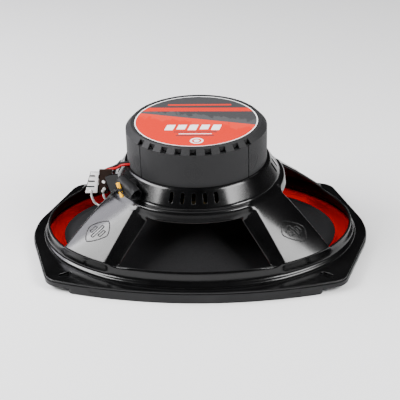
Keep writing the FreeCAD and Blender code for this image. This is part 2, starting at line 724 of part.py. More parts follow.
# ---------------------------------------------------------------- moving system
def surround():
    """Rubber half roll on an oval, with a glued land on each side."""
    long_axis = size("roll_outer_long")
    short_axis = size("roll_outer_short")
    land = size("flange_front")
    thick = size("surround_thickness")
    width = size("roll_width")
    depth = size("roll_depth")
    outer_edge = long_axis - size("surround_outer_long")
    inner_edge = width + size("cone_lip")
    under = land - thick
    tuck = 0.3

    def at(inward, height):
        return Vector(long_axis - inward, 0, height)

    curves = [
        Part.LineSegment(at(outer_edge, land), at(0, land)),
        Part.Arc(at(0, land), at(width / 2, land - depth), at(width, land)),
        Part.LineSegment(at(width, land), at(inner_edge, land)),
        Part.LineSegment(at(inner_edge, land), at(inner_edge, under)),
        Part.LineSegment(at(inner_edge, under), at(width - tuck, under)),
        Part.Arc(at(width - tuck, under), at(width / 2, under - depth), at(tuck, under)),
        Part.LineSegment(at(tuck, under), at(outer_edge, under)),
        Part.LineSegment(at(outer_edge, under), at(outer_edge, land)),
    ]
    section = Part.Wire([curve.toShape() for curve in curves])
    spine = Part.Wire([Part.Ellipse(Vector(0, 0, land), long_axis, short_axis).toShape()])
    return feature("surround", spine.makePipeShell([section], True, False))


def cone():
    """Paper cone from a round neck to an oval rim, with a flat lip at the rim."""
    rim_long = "roll_outer_long - roll_width"
    rim_short = "roll_outer_short - roll_width"
    mouth_long = rim_long + " - cone_lip"
    mouth_short = rim_short + " - cone_lip"
    lip = oval_prism("cone_lip_plate", rim_long, rim_short, "flange_front", "flange_front + cone_thickness")
    back = loft("cone_back", [
        ellipse("cone_back_rim", mouth_long + " + 1", mouth_short + " + 1", "flange_front + 0.4"),
        circle("cone_back_neck", "former_outer + cone_thickness", "cone_neck")])
    front = loft("cone_front", [
        ellipse("cone_front_rim", mouth_long, mouth_short, "flange_front"),
        circle("cone_front_neck", "former_outer", "cone_neck - cone_thickness")])
    below = oval_prism("cone_mouth", mouth_long, mouth_short, "flange_front - 2", "flange_front")
    bore = add("Part::Cylinder", "cone_bore", Radius="former_outer", Height="20")
    bind(bore, Placement__Base__z="cone_neck - 12")
    return cut("cone", fuse("cone_solid", [lip, back]), fuse("cone_hollow", [front, below, bore]))


def spider():
    """Corrugated cloth disc that centres the coil."""
    inner = size("spider_inner_land")
    outer = size("ledge_radius - 5.0")
    pitch = size("spider_pitch")
    turns = int((outer - inner) / pitch / 2) * 2
    upper = [("former_outer", "spider_height"), ("spider_inner_land - 0.8", "spider_height")]
    for i in range(turns):
        sign = "+" if i % 2 else "-"
        for share in (0.25, 0.75):
            upper.append((f"spider_inner_land + spider_pitch * {i + share}",
                          f"spider_height {sign} spider_wave / 2"))
    land = "ledge_top - 2 - spider_thickness"
    upper.append((f"spider_inner_land + spider_pitch * {turns} + 0.6", land))
    upper.append(("spider_outer", land))
    top = [(r, z + " + spider_thickness") for r, z in reversed(upper)]
    return turned("spider", upper + top)


# ---------------------------------------------------------------- tweeters
def pod_plan(shrink):
    """Egg-shaped plan of the pod: a large and a small circle and the tangents between them."""
    large = size("pod_radius") - shrink
    small = size("super_radius") - shrink
    offset = size("super_offset")
    lean = math.acos((large - small) / offset)

    def rim(centre, radius, angle):
        return Vector(centre + radius * math.cos(angle), radius * math.sin(angle), 0)

    points = [rim(0, large, lean), rim(offset, small, lean), rim(offset, small, 0),
              rim(offset, small, -lean), rim(0, large, -lean), rim(0, large, math.pi)]
    curves = [Part.LineSegment(points[0], points[1]), Part.Arc(points[1], points[2], points[3]),
              Part.LineSegment(points[3], points[4]), Part.Arc(points[4], points[5], points[0])]
    return Part.Face(Part.Wire([curve.toShape() for curve in curves]))


def pod_block(shrink, foot, top):
    """Solid over the pod's plan."""
    face = pod_plan(shrink)
    face.translate(Vector(0, 0, foot))
    return face.extrude(Vector(0, 0, top - foot))


def tweeter_pod():
    """Housing behind both tweeters, open to the front."""
    front = size("pod_front")
    rear = size("pod_rear")
    wall = size("pod_wall")
    shell = pod_block(0, front, rear)
    rims = [e for e in shell.Edges if abs(e.CenterOfMass.z - rear) < 0.01]
    shell = shell.makeChamfer(2.0, rims)
    shell = shell.cut(pod_block(wall, front - 1, rear - 3.0))
    shell = shell.cut(Part.makeCylinder(size("post_bore"), 10, Vector(0, 0, rear - 6)))
    return feature("tweeter_pod", shell)


def pod_faceplate():
    """Front plate of the pod, with an opening for each dome."""
    front = size("pod_front")
    thick = size("faceplate_thickness")
    plate = pod_block(size("pod_wall") + 0.1, front, front + thick)
    for centre, dome, mouth, throat in ((0, "dome_radius", 4.2, 2.0),
                                        (size("super_offset"), "super_dome_radius", 2.6, 1.4)):
        flare = Part.makeCone(size(dome) + mouth, size(dome) + throat, thick, Vector(centre, 0, front))
        plate = plate.cut(flare)
    return feature("pod_faceplate", plate)


def post_and_nut():
    """Hollow post from the pod to the back plate, and the nut that holds it."""
    rear = "basket_top + plate_thickness + ferrite_thickness + back_plate_thickness"
    turned("tweeter_post", [
        ("post_bore", "pod_rear"), ("post_radius + 2.5", "pod_rear"), ("post_radius + 2.5", "pod_rear + 2"),
        ("post_radius", "pod_rear + 4"), ("post_radius", "basket_top - 0.5"),
        ("post_spigot", "basket_top - 0.5"), ("post_spigot", rear), ("post_bore", rear)])
    radius, height = size("nut_radius"), size("nut_height")
    turns = [math.radians(60 * i) for i in range(7)]
    outline = Part.makePolygon([Vector(radius * math.cos(a), radius * math.sin(a), 0) for a in turns])
    bore = Part.makeCylinder(size("post_spigot") + 0.03, height)
    nut = Part.Face(outline).extrude(UP * height).cut(bore)
    nut.translate(UP * (size(rear) - size("nut_pocket_depth")))
    feature("post_nut", nut)


def tweeter_motor(prefix, centre, dome, front, cup_height):
    """Cup, magnet and plate of one tweeter, from the height of its front."""
    rear = f"{front} + {cup_height}"
    inside = f"{rear} - tweeter_sheet"
    behind_plate = f"{front} + tweeter_sheet"
    magnet_radius = f"{dome} - 1.0"
    plate_radius = f"{dome} - 0.7"
    cup = turned(prefix + "_cup", [
        (0, rear), (f"{dome} + 1.6", rear), (f"{dome} + 1.6", front), (f"{dome} + 0.3", front),
        (f"{dome} + 0.3", inside), (0, inside)])
    magnet = turned(prefix + "_magnet", [
        (0, behind_plate), (magnet_radius, behind_plate), (magnet_radius, inside), (0, inside)])
    plate = turned(prefix + "_plate", [
        (0, front), (plate_radius, front), (plate_radius, behind_plate), (0, behind_plate)])
    for item in (cup, magnet, plate):
        bind(item, Placement__Base__x=centre)


def tweeter_dome(prefix, centre, dome, front, rise):
    """Dome with its coil, a thin cap in front of the plate."""
    radius = size(dome)
    skin = size("dome_skin")
    sphere = (radius ** 2 + rise ** 2) / (2 * rise)
    foot = size(front) - 0.9
    middle = UP * (foot - rise + sphere)
    outer = Part.makeSphere(sphere, middle)
    inner = Part.makeSphere(sphere - skin, middle)
    keep = Part.makeCylinder(radius - 0.2, rise + 0.5, UP * (foot - rise - 0.5))
    cap = outer.cut(inner).common(keep)
    coil_height = 1.9
    coil = Part.makeCylinder(radius - 0.05, coil_height, UP * (foot - 0.5))
    coil = coil.cut(Part.makeCylinder(radius - 0.35, coil_height, UP * (foot - 0.5)))
    solid = cap.fuse(coil)
    solid.translate(LONG * size(centre))
    return feature(prefix + "_dome", solid)


# ---------------------------------------------------------------- terminals, crossover and leads
def comb_tab():
    """Comb-shaped positive tab with a slanted outer edge, two kerfs and an eyelet."""
    blank = padded("tab_blank", "XZ_Plane", [
        (-77.9, "tab_foot"), (-69.4, "tab_foot"), (-67.4, "tab_top"), (-72.6, "tab_top")],
        "tab_thickness", "board_thickness - board_y")
    rear = "board_y - board_thickness - 2"
    kerfs = []
    for i, low in enumerate((4.6, 8.9)):
        kerfs.append(bar(f"kerf_{i}", (-79.0, rear, f"tab_foot + {low}"), ("8.4", "4", "0.9")))
    eyelet = add("Part::Cylinder", "eyelet", Radius="1.1", Height="6")
    placed(eyelet, (-75.0, size("board_y") + 1, size("tab_foot") + 2.2), LONG, 90)
    return cut("terminal_positive", blank, fuse("tab_cuts", kerfs + [eyelet]))


def terminals():
    """Terminal board with a step over the ledge, comb tab in front, plain tab behind, and its rivets."""
    padded("terminal_board", "XZ_Plane", [
        ("board_outer", "board_foot"), ("board_waist", "board_foot"), ("board_waist", "board_step"),
        ("board_inner", "board_step"), ("board_inner", "board_top"), ("board_outer + 1.5", "board_top")],
        "board_thickness", "-board_y")
    comb_tab()
    bar("terminal_negative", (-74.0, "board_y", "board_foot + 6"), ("11.3", "tab_thickness", "4.8"))
    rivets = []
    for height in (4.0, 9.6):
        rivet = add("Part::Cylinder", f"board_rivet_{int(height)}", Radius="1.2", Height="0.9")
        placed(rivet, (-64.4, size("board_y - board_thickness"), size("board_foot") + height), LONG, 90)
        rivets.append(rivet)
    compound = doc.addObject("Part::Compound", "board_rivets")
    compound.Links = rivets


def terminal_bracket():
    """Bent sheet on the ledge: a wall along the neck that holds the board and a flag in front of it."""
    sheet_metal = size("bracket_sheet")
    foot = size("bracket_foot")
    front = Vector(-53.0, -24.4, 0)
    rear = Vector(-57.4, -10.4, 0)
    outward = Vector(front.y - rear.y, rear.x - front.x, 0).normalize() * sheet_metal
    wall = prism([front, rear, rear + outward, front + outward], foot, foot + 5.0)
    corners = [(-52.6, foot), (-54.2, foot), (-58.2, foot - 3.6), (-61.4, foot + 7.6), (-58.0, foot + 9.4),
               (-52.6, foot + 10.0)]
    points = [Vector(x, front.y - sheet_metal, z) for x, z in corners]
    flag = Part.Face(Part.makePolygon(points + points[:1])).extrude(SHORT * sheet_metal)
    return feature("terminal_bracket", wall.fuse(flag).removeSplitter())


def crossover():
    """Capacitor in its sleeve beside the neck, film capacitor in front and the lead between them."""
    radius = size("capacitor_radius")
    sleeve = size("sleeve_radius")
    length = size("sleeve_length")
    axis = Vector(0.645, -0.730, -0.235).normalize()
    outward = Vector(axis.y, -axis.x, 0).normalize()
    place = Placement(Vector(-49.5, -33.4, 63.6), Rotation(outward, axis.cross(outward), axis, "ZXY"))
    floor = UP * 1.0
    tube = Part.makeCylinder(sleeve, length).cut(Part.makeCylinder(radius + 0.02, length, floor))
    can = Part.makeCylinder(radius, length - 7.0, floor)
    film_thickness, film_length, film_width = 1.7, 10.2, 2.6
    block = Part.makeBox(film_thickness, film_length, film_width,
                         Vector(sleeve + 0.1, -film_length / 2, -film_width / 2))
    block.rotate(ORIGIN, LONG, 39)
    block.translate(Vector(0, 0.4, 7.3))
    lead = tube_along([
        (0.5, 0.5, length - 5.5), (0.5, 0.5, length + 0.6), (2.8, 0.4, length + 2.8),
        (6.2, -0.2, length + 1.2), (7.4, -0.3, length - 5.0), (7.4, -1.4, length - 11.0)],
        size("thin_lead_radius"))
    for name, shape in (("capacitor_sleeve", tube), ("capacitor", can), ("film_capacitor", block),
                        ("capacitor_lead", lead)):
        shape.Placement = place.multiply(shape.Placement)
        feature(name, shape)


def leads():
    """Two tweeter leads from the board to the boot, two tinsel leads to the cone's eyelets."""
    thick = size("lead_radius")
    rear = size("board_y")
    entry = size("basket_top") + 1.2
    eyelet = (size("eyelet_x"), size("eyelet_y"))
    feature("tweeter_lead_red", tube_along(
        [(-63.6, rear, 59.4), (-63.6, -8.4, 59.4), (-59.6, -8.0, 59.8), (-54.6, -12.0, 62.4),
         (-50.0, -15.4, entry), (-42.0, -16.2, entry)], thick))
    feature("tweeter_lead_black", tube_along(
        [(-66.0, rear, 57.4), (-66.0, -6.6, 57.4), (-60.8, -4.6, 58.8), (-55.0, -8.6, 62.8),
         (-50.8, -12.4, entry), (-42.8, -13.4, entry)], thick))
    feature("tinsel_lead_front", tube_along(
        [(-73.6, -13.2, size("tab_foot")), (-73.6, -13.2, 39.6), (-71.3, -13.8, 35.6), (-66.5, -14.4, 32.9),
         (-60.5, -13.6, 31.6), (-52.0, -11.8, 32.4), (-43.0, -9.4, 35.0), (-35.0, -7.4, 38.2),
         (eyelet[0], -eyelet[1], 38.6), (eyelet[0], -eyelet[1], 34.2)], thick))
    feature("tinsel_lead_rear", tube_along(
        [(-65.5, -12.0, size("board_foot")), (-65.5, -12.0, 39.4), (-63.4, -8.4, 35.6), (-59.0, -4.0, 33.6),
         (-53.0, 0.2, 33.2), (-45.5, 3.6, 34.8), (-36.5, 5.6, 38.0), (eyelet[0], eyelet[1], 38.6),
         (eyelet[0], eyelet[1], 34.2)], thick))


def cone_eyelets():
    """Two eyelets on the back of the cone, where the tinsel leads end."""
    radius, height, foot = 1.7, 2.4, 31.8
    eyelets = []
    for side in (-1, 1):
        place = Vector(size("eyelet_x"), size("eyelet_y") * side, foot)
        eyelets.append(Part.makeCylinder(radius, height, place))
    return compound("cone_eyelets", eyelets)


# ---------------------------------------------------------------- build
def build():
    """Make every sub-part and return the nodes by name."""
    basket()
    trim_ring()
    plate_rivets()
    top_plate()
    ring("ferrite_magnet", "ferrite_bore", "ferrite_radius", "basket_top + plate_thickness",
         "basket_top + plate_thickness + ferrite_thickness")
    yoke()
    magnet_boot()
    ring_label = add("Part::Cylinder", "rear_label", Radius="label_radius", Height="label_thickness")
    bind(ring_label, Placement__Base__z="boot_top - label_recess")
    surround()
    cone()
    spider()
    ring("coil_former", "former_inner", "former_outer", "former_foot", "former_top")
    ring("voice_coil", "former_outer", "coil_outer", "coil_foot", "coil_top")
    tweeter_pod()
    pod_faceplate()
    post_and_nut()
    tweeter_motor("tweeter", "main_offset", "dome_radius", "main_front", 6.0)
    tweeter_motor("super_tweeter", "super_offset", "super_dome_radius", "super_front", 5.0)
    tweeter_dome("tweeter", "main_offset", "dome_radius", "main_front", 2.6)
    tweeter_dome("super_tweeter", "super_offset", "super_dome_radius", "super_front", 1.5)
    terminals()
    terminal_bracket()
    crossover()
    leads()
    cone_eyelets()


NODES = ["basket", "trim_ring", "plate_rivets", "top_plate", "ferrite_magnet", "pole_yoke", "magnet_boot",
         "rear_label", "surround", "cone", "spider", "coil_former", "voice_coil", "tweeter_pod",
         "pod_faceplate",
         "tweeter_post", "post_nut", "tweeter_cup", "tweeter_magnet", "tweeter_plate", "tweeter_dome",
         "super_tweeter_cup", "super_tweeter_magnet", "super_tweeter_plate", "super_tweeter_dome",
         "terminal_board", "terminal_positive", "terminal_negative", "board_rivets", "terminal_bracket",
         "capacitor_sleeve", "capacitor", "film_capacitor", "capacitor_lead",
         "tweeter_lead_red", "tweeter_lead_black", "tinsel_lead_front", "tinsel_lead_rear", "cone_eyelets"]


def check_and_export():
    """Stop on any failed object or bad shape, then write one STEP file per node."""
    doc.recompute()
    for item in doc.Objects:
        if "Invalid" in item.State or "Error" in item.State:
            raise RuntimeError(f"{item.Name} failed: {item.State}")
    os.makedirs("parts", exist_ok=True)
    for name in NODES:
        shape = doc.getObject(name).Shape
        if shape.isNull() or not shape.isValid() or not shape.Solids:
            raise RuntimeError(f"{name} has no valid solid")
        doc.getObject(name).Label = name
        shape.exportStep(f"parts/{name}.step")
        print(f"{name}: {len(shape.Solids)} solid(s), {shape.Volume / 1000:.2f} cm3")


build()
check_and_export()
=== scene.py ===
"""Oval coaxial car loudspeaker lying on its face, seen from behind: looks built around the CAD frame."""

import json
from math import acos, atan2, cos, hypot, pi, radians, sin, sqrt

import bmesh
import bpy
from mathutils import Matrix, Vector

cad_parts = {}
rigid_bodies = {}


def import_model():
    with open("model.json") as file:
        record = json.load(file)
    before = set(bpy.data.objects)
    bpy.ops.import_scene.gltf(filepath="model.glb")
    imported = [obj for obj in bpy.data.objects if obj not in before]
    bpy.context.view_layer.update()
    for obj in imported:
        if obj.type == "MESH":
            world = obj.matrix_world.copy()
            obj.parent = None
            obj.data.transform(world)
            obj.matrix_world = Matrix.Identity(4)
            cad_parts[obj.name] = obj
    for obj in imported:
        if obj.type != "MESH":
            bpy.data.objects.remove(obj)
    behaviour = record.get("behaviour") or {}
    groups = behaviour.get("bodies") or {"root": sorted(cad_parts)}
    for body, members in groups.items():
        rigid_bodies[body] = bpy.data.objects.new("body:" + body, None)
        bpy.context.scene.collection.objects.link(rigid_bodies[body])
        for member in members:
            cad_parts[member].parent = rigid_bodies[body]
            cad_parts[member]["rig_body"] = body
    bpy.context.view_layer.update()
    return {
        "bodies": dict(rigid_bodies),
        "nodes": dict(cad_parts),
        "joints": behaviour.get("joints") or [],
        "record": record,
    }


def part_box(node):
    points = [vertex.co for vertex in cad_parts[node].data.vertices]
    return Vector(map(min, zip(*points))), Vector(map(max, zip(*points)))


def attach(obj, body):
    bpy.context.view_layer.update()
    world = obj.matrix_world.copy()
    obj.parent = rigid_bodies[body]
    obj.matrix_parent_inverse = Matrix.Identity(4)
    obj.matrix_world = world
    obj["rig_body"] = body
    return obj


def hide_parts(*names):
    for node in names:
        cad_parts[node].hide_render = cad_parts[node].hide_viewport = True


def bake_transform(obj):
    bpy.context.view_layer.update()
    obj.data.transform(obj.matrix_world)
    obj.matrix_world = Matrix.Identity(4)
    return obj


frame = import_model()
NODES = frame["nodes"]
MM = 0.001


# ---- shared helpers
def linked(name, data):
    """New object in the scene around some data."""
    item = bpy.data.objects.new(name, data)
    bpy.context.scene.collection.objects.link(item)
    return item


def mesh_from(name, vertices, faces):
    """Mesh from points in metres and faces."""
    mesh = bpy.data.meshes.new(name)
    mesh.from_pydata(vertices, [], faces)
    return mesh


def mesh_of(work, name):
    """Mesh from a bmesh, which is freed."""
    mesh = bpy.data.meshes.new(name)
    work.to_mesh(mesh)
    work.free()
    return mesh


def evaluated_mesh(item):
    """Mesh of an object with its modifiers or curve settings applied."""
    return bpy.data.meshes.new_from_object(item.evaluated_get(bpy.context.evaluated_depsgraph_get()))


def set_inputs(node, values):
    """Set inputs of a shader node by name."""
    for name, value in values.items():
        node.inputs[name].default_value = value


def turns(count):
    """Angles spaced evenly once around."""
    return [2 * pi * i / count for i in range(count)]


def oval(long_axis, short_axis, height, count):
    """Points once around an oval, in millimetres."""
    return [Vector((long_axis * cos(a), short_axis * sin(a), height)) for a in turns(count)]


def ring_faces(count, around, base=0, closed=True):
    """Faces between closed rings of points; closed joins the last ring to the first."""
    faces = []
    for r in range(count if closed else count - 1):
        here, there = base + r * around, base + (r + 1) % count * around
        for c in range(around):
            d = (c + 1) % around
            faces.append((here + c, here + d, there + d, there + c))
    return faces


# ---- camera, lights, floor
def place_camera():
    """Camera at the height, turn and roll of the product view."""
    distance, elevation, azimuth, roll = 0.72, radians(28.25), radians(3.23), radians(-1.66)
    target = Vector((0.00108, 0, 0.031))
    back = Vector((sin(azimuth) * cos(elevation), -cos(azimuth) * cos(elevation),
                   sin(elevation)))
    data = bpy.data.cameras.new("camera")
    data.lens = 91.44
    data.sensor_width = 36
    data.clip_start = 0.01
    camera = linked("camera", data)
    aim = (-back).to_track_quat("-Z", "Y") @ Matrix.Rotation(roll, 3, "Z").to_quaternion()
    camera.matrix_world = Matrix.Translation(target + back * distance) @ aim.to_matrix().to_4x4()
    bpy.context.scene.camera = camera


def area_light(name, position, target, width, height, power, color=(1, 1, 1)):
    """Soft rectangular light aimed at a point."""
    data = bpy.data.lights.new(name, "AREA")
    data.shape = "RECTANGLE"
    data.size = width
    data.size_y = height
    data.energy = power
    data.color = color
    light = linked(name, data)
    direction = Vector(target) - Vector(position)
    aim = direction.to_track_quat("-Z", "Y").to_matrix().to_4x4()
    light.matrix_world = Matrix.Translation(position) @ aim


def place_lights():
    """A soft box at each side, a weaker one at the left rear and one overhead, in a dim room."""
    area_light("left_box", (-0.703, -0.188, 0.60), (0, 0, 0.04), 0.62, 0.34, 18)
    area_light("left_fill", (-0.72, 0.22, 0.58), (0, 0, 0.04), 0.46, 0.46, 7, (0.93, 0.91, 1.0))
    area_light("right_box", (0.643, -0.342, 0.60), (0, 0, 0.04), 0.46, 0.34, 14)
    area_light("top_box", (0.0, 0.45, 1.1), (0, 0, 0.05), 1.2, 0.8, 9)
    world = bpy.data.worlds.new("studio")
    world.use_nodes = True
    tree = world.node_tree
    direction = tree.nodes.new("ShaderNodeTexCoord")
    height = tree.nodes.new("ShaderNodeSeparateXYZ")
    tree.links.new(direction.outputs["Generated"], height.inputs[0])
    fall = tree.nodes.new("ShaderNodeMapRange")
    fall.interpolation_type = "SMOOTHSTEP"
    set_inputs(fall, {"From Min": 0.04, "From Max": 0.34, "To Min": 0.16, "To Max": 0.03})
    tree.links.new(height.outputs["Z"], fall.inputs["Value"])
    tree.links.new(fall.outputs["Result"], tree.nodes["Background"].inputs["Strength"])
    set_inputs(tree.nodes["Background"], {"Color": (1, 1, 1, 1)})
    bpy.context.scene.world = world


def place_floor():
    """Plain pale floor."""
    reach = 6.0
    corners = [(-reach, -reach, 0), (reach, -reach, 0), (reach, reach, 0), (-reach, reach, 0)]
    mesh = mesh_from("floor", corners, [(0, 1, 2, 3)])
    floor = linked("floor", mesh)
    material = bpy.data.materials.new("floor")
    material.use_nodes = True
    shader = material.node_tree.nodes["Principled BSDF"]
    set_inputs(shader, {"Base Color": (0.8, 0.8, 0.8, 1), "Roughness": 0.9})
    mesh.materials.append(material)


# ---- material helpers
class Paint:
    """A node material with short calls for the nodes that the finishes use."""

    def __init__(self, name, color, roughness, metallic=0.0, coat=0.0, coat_roughness=0.05, specular=0.5):
        self.material = bpy.data.materials.new(name)
        self.material.use_nodes = True
        self.tree = self.material.node_tree
        self.shader = self.tree.nodes["Principled BSDF"]
        set_inputs(self.shader, {"Base Color": (*color, 1), "Roughness": roughness, "Metallic": metallic,
                                 "Coat Weight": coat, "Coat Roughness": coat_roughness,
                                 "Specular IOR Level": specular})
        self.coordinates = self.node("ShaderNodeTexCoord").outputs["Object"]

    def node(self, kind, values=None, **settings):
        """Add a node and set its plain properties and its inputs."""
        item = self.tree.nodes.new(kind)
        for name, value in settings.items():
            setattr(item, name, value)
        set_inputs(item, values or {})
        return item

    def link(self, source, socket):
        """Join an output to an input."""
        self.tree.links.new(source, socket)

    def noise(self, scale, detail=3.0, stretch=(1, 1, 1), roughness=0.55, source=None):
        """Noise over the object's own coordinates, in features per metre, or over another source."""
        mapping = self.node("ShaderNodeMapping", {"Scale": stretch})
        self.link(source or self.coordinates, mapping.inputs["Vector"])
        texture = self.node("ShaderNodeTexNoise", {"Scale": scale, "Detail": detail, "Roughness": roughness})
        self.link(mapping.outputs["Vector"], texture.inputs["Vector"])
        return texture.outputs["Fac"]

    def spread(self, value, low, high):
        """Map the middle span of a texture value to a range."""
        limits = {"From Min": 0.3, "From Max": 0.7, "To Min": low, "To Max": high}
        ramp = self.node("ShaderNodeMapRange", limits)
        self.link(value, ramp.inputs["Value"])
        return ramp.outputs["Result"]

    def math(self, operation, first, second=0.0):
        """One math node; inputs are outputs or numbers."""
        item = self.node("ShaderNodeMath", operation=operation)
        for value, socket in ((first, item.inputs[0]), (second, item.inputs[1])):
            if isinstance(value, (int, float)):
                socket.default_value = value
            else:
                self.link(value, socket)
        return item.outputs["Value"]

    def mix(self, factor, first, second):
        """Mix two colours; each is an output or an (r, g, b)."""
        item = self.node("ShaderNodeMix", data_type="RGBA")
        self.link(factor, item.inputs[0])
        for value, socket in ((first, item.inputs[6]), (second, item.inputs[7])):
            if isinstance(value, (tuple, list)):
                socket.default_value = (*value[:3], 1)
            else:
                self.link(value, socket)
        return item.outputs[2]

    def tone(self, value, low, high):
        """Base colour mixed from two tones."""
        self.link(self.mix(value, low, high), self.shader.inputs["Base Color"])

    def cloud(self, value, low, high):
        """Base colour that varies with a noise between two tones."""
        self.tone(self.spread(value, 0, 1), low, high)

    def rough(self, value, low, high):
        """Roughness variation."""
        self.link(self.spread(value, low, high), self.shader.inputs["Roughness"])

    def bump(self, value, distance, strength):
        """Relief from a texture value, distance in metres."""
        item = self.node("ShaderNodeBump", {"Strength": strength, "Distance": distance})
        self.link(value, item.inputs["Height"])
        self.link(item.outputs["Normal"], self.shader.inputs["Normal"])


def tuned(color, factor):
    """A colour made lighter or darker."""
    return tuple(min(1.0, c * factor) for c in color)


# ---- finishes
def enamel():
    """Glossy black e-coat with slight orange peel and uneven tone."""
    paint = Paint("basket_enamel", (0.0015, 0.0015, 0.0016), 0.17, coat=0.1, coat_roughness=0.1,
                  specular=0.26)
    paint.cloud(paint.noise(60), (0.0010, 0.0010, 0.0011), (0.0025, 0.0025, 0.0027))
    paint.rough(paint.noise(35, 4), 0.15, 0.25)
    paint.bump(paint.noise(700, 2), 0.00004, 0.3)
    return paint.material


def inner_enamel():
    """Thin matte coat on the inside and on the punched edges."""
    paint = Paint("inner_enamel", (0.002, 0.002, 0.002), 0.6, specular=0.1)
    paint.cloud(paint.noise(80), (0.0015, 0.0015, 0.0015), (0.004, 0.004, 0.004))
    paint.rough(paint.noise(50, 4), 0.5, 0.75)
    return paint.material


def ring_plastic():
    """Satin moulded black plastic."""
    paint = Paint("ring_plastic", (0.006, 0.006, 0.0065), 0.42, specular=0.22)
    paint.cloud(paint.noise(90), (0.0045, 0.0045, 0.005), (0.008, 0.008, 0.0085))
    paint.rough(paint.noise(60), 0.34, 0.5)
    paint.bump(paint.noise(2600, 2), 0.00006, 0.4)
    return paint.material


def boot_plastic():
    """Matte plastic with a fine spark-eroded grain."""
    paint = Paint("boot_plastic", (0.012, 0.012, 0.0125), 0.62, specular=0.22)
    grain = paint.noise(3200, 3, roughness=0.7)
    paint.cloud(grain, (0.008, 0.008, 0.0085), (0.018, 0.018, 0.019))
    paint.rough(grain, 0.5, 0.75)
    paint.bump(grain, 0.00012, 0.8)
    return paint.material


def metal(name, color, roughness):
    """Plated or turned metal with fine streaks."""
    paint = Paint(name, color, roughness, metallic=1.0)
    fine = paint.noise(900, 3, (1, 1, 12))
    paint.cloud(fine, tuned(color, 0.78), tuned(color, 1.08))
    paint.rough(fine, roughness * 0.8, roughness * 1.35)
    paint.bump(fine, 0.00003, 0.5)
    return paint.material


def ferrite():
    """Sintered dark grey ferrite."""
    paint = Paint("ferrite", (0.05, 0.05, 0.055), 0.7)
    grain = paint.noise(1500, 4)
    paint.cloud(grain, (0.035, 0.035, 0.038), (0.075, 0.075, 0.08))
    paint.rough(grain, 0.6, 0.85)
    paint.bump(grain, 0.0001, 0.6)
    return paint.material


def red_rubber():
    """Smooth saturated red rubber."""
    paint = Paint("red_rubber", (0.84, 0.0, 0.0), 0.5, specular=0.06)
    paint.cloud(paint.noise(40), (0.80, 0.0, 0.0), (0.88, 0.0, 0.0))
    paint.rough(paint.noise(200), 0.36, 0.5)
    paint.bump(paint.noise(1800, 2), 0.00004, 0.4)
    return paint.material


def cone_paper():
    """Pressed black paper with fibres."""
    paint = Paint("cone_paper", (0.008, 0.008, 0.009), 0.6, specular=0.12)
    fibre = paint.noise(1100, 5, (1, 1, 2.5), 0.7)
    paint.cloud(fibre, (0.005, 0.005, 0.0055), (0.014, 0.014, 0.015))
    paint.rough(fibre, 0.5, 0.72)
    paint.bump(fibre, 0.00012, 0.7)
    return paint.material


def woven(name, dark, light, roughness, threads):
    """Coarse woven cloth: crossed waves over the object's plan."""
    paint = Paint(name, light, roughness, specular=0.25)
    waves = []
    for direction in ("X", "Y"):
        settings = {"Scale": threads, "Distortion": 0.4}
        wave = paint.node("ShaderNodeTexWave", settings, bands_direction=direction)
        paint.link(paint.coordinates, wave.inputs["Vector"])
        waves.append(wave.outputs["Fac"])
    weave = paint.math("MULTIPLY", waves[0], waves[1])
    paint.tone(weave, dark, light)
    paint.bump(weave, 0.00015, 0.8)
    return paint.material


def plain_plastic(name, color, low, high, specular=0.3):
    """Smooth plastic with a slight variation in tone and gloss."""
    paint = Paint(name, color, (low + high) / 2, specular=specular)
    cloud = paint.noise(400)
    paint.cloud(cloud, tuned(color, 0.82), tuned(color, 1.12))
    paint.rough(cloud, low, high)
    paint.bump(paint.noise(1600), 0.00004, 0.4)
    return paint.material


def copper_coil():
    """Close turns of enamelled wire."""
    paint = Paint("coil_copper", (0.6, 0.2, 0.08), 0.3, metallic=0.9)
    wave = paint.node("ShaderNodeTexWave", {"Scale": 900}, bands_direction="Z")
    paint.link(paint.coordinates, wave.inputs["Vector"])
    paint.tone(wave.outputs["Fac"], (0.35, 0.1, 0.04), (0.72, 0.28, 0.12))
    paint.bump(wave.outputs["Fac"], 0.0001, 0.9)
    return paint.material


FINISHES = {
    "basket_enamel": enamel(),
    "ring_plastic": ring_plastic(),
    "boot_plastic": boot_plastic(),
    "zinc_steel": metal("zinc_steel", (0.52, 0.52, 0.53), 0.32),
    "ferrite": ferrite(),
    "red_rubber": red_rubber(),
    "cone_paper": cone_paper(),
    "spider_cloth": woven("spider_cloth", (0.10, 0.07, 0.03), (0.32, 0.22, 0.09), 0.8, 220),
    "former_aluminium": metal("former_aluminium", (0.05, 0.05, 0.052), 0.4),
    "coil_copper": copper_coil(),
    "pod_plastic": plain_plastic("pod_plastic", (0.015, 0.015, 0.016), 0.32, 0.5),
    "dome_film": metal("dome_film", (0.45, 0.45, 0.47), 0.28),
    "phenolic": plain_plastic("phenolic", (0.022, 0.011, 0.007), 0.5, 0.7, specular=0.15),
    "tinned_brass": metal("tinned_brass", (0.95, 0.94, 0.92), 0.42),
    "sleeve_rubber": plain_plastic("sleeve_rubber", (0.007, 0.007, 0.0075), 0.42, 0.58, specular=0.14),
    "yellow_film": plain_plastic("yellow_film", (1.0, 0.45, 0.0), 0.45, 0.6, specular=0.05),
    "red_insulation": plain_plastic("red_insulation", (0.36, 0.0, 0.003), 0.3, 0.42, specular=0.16),
}


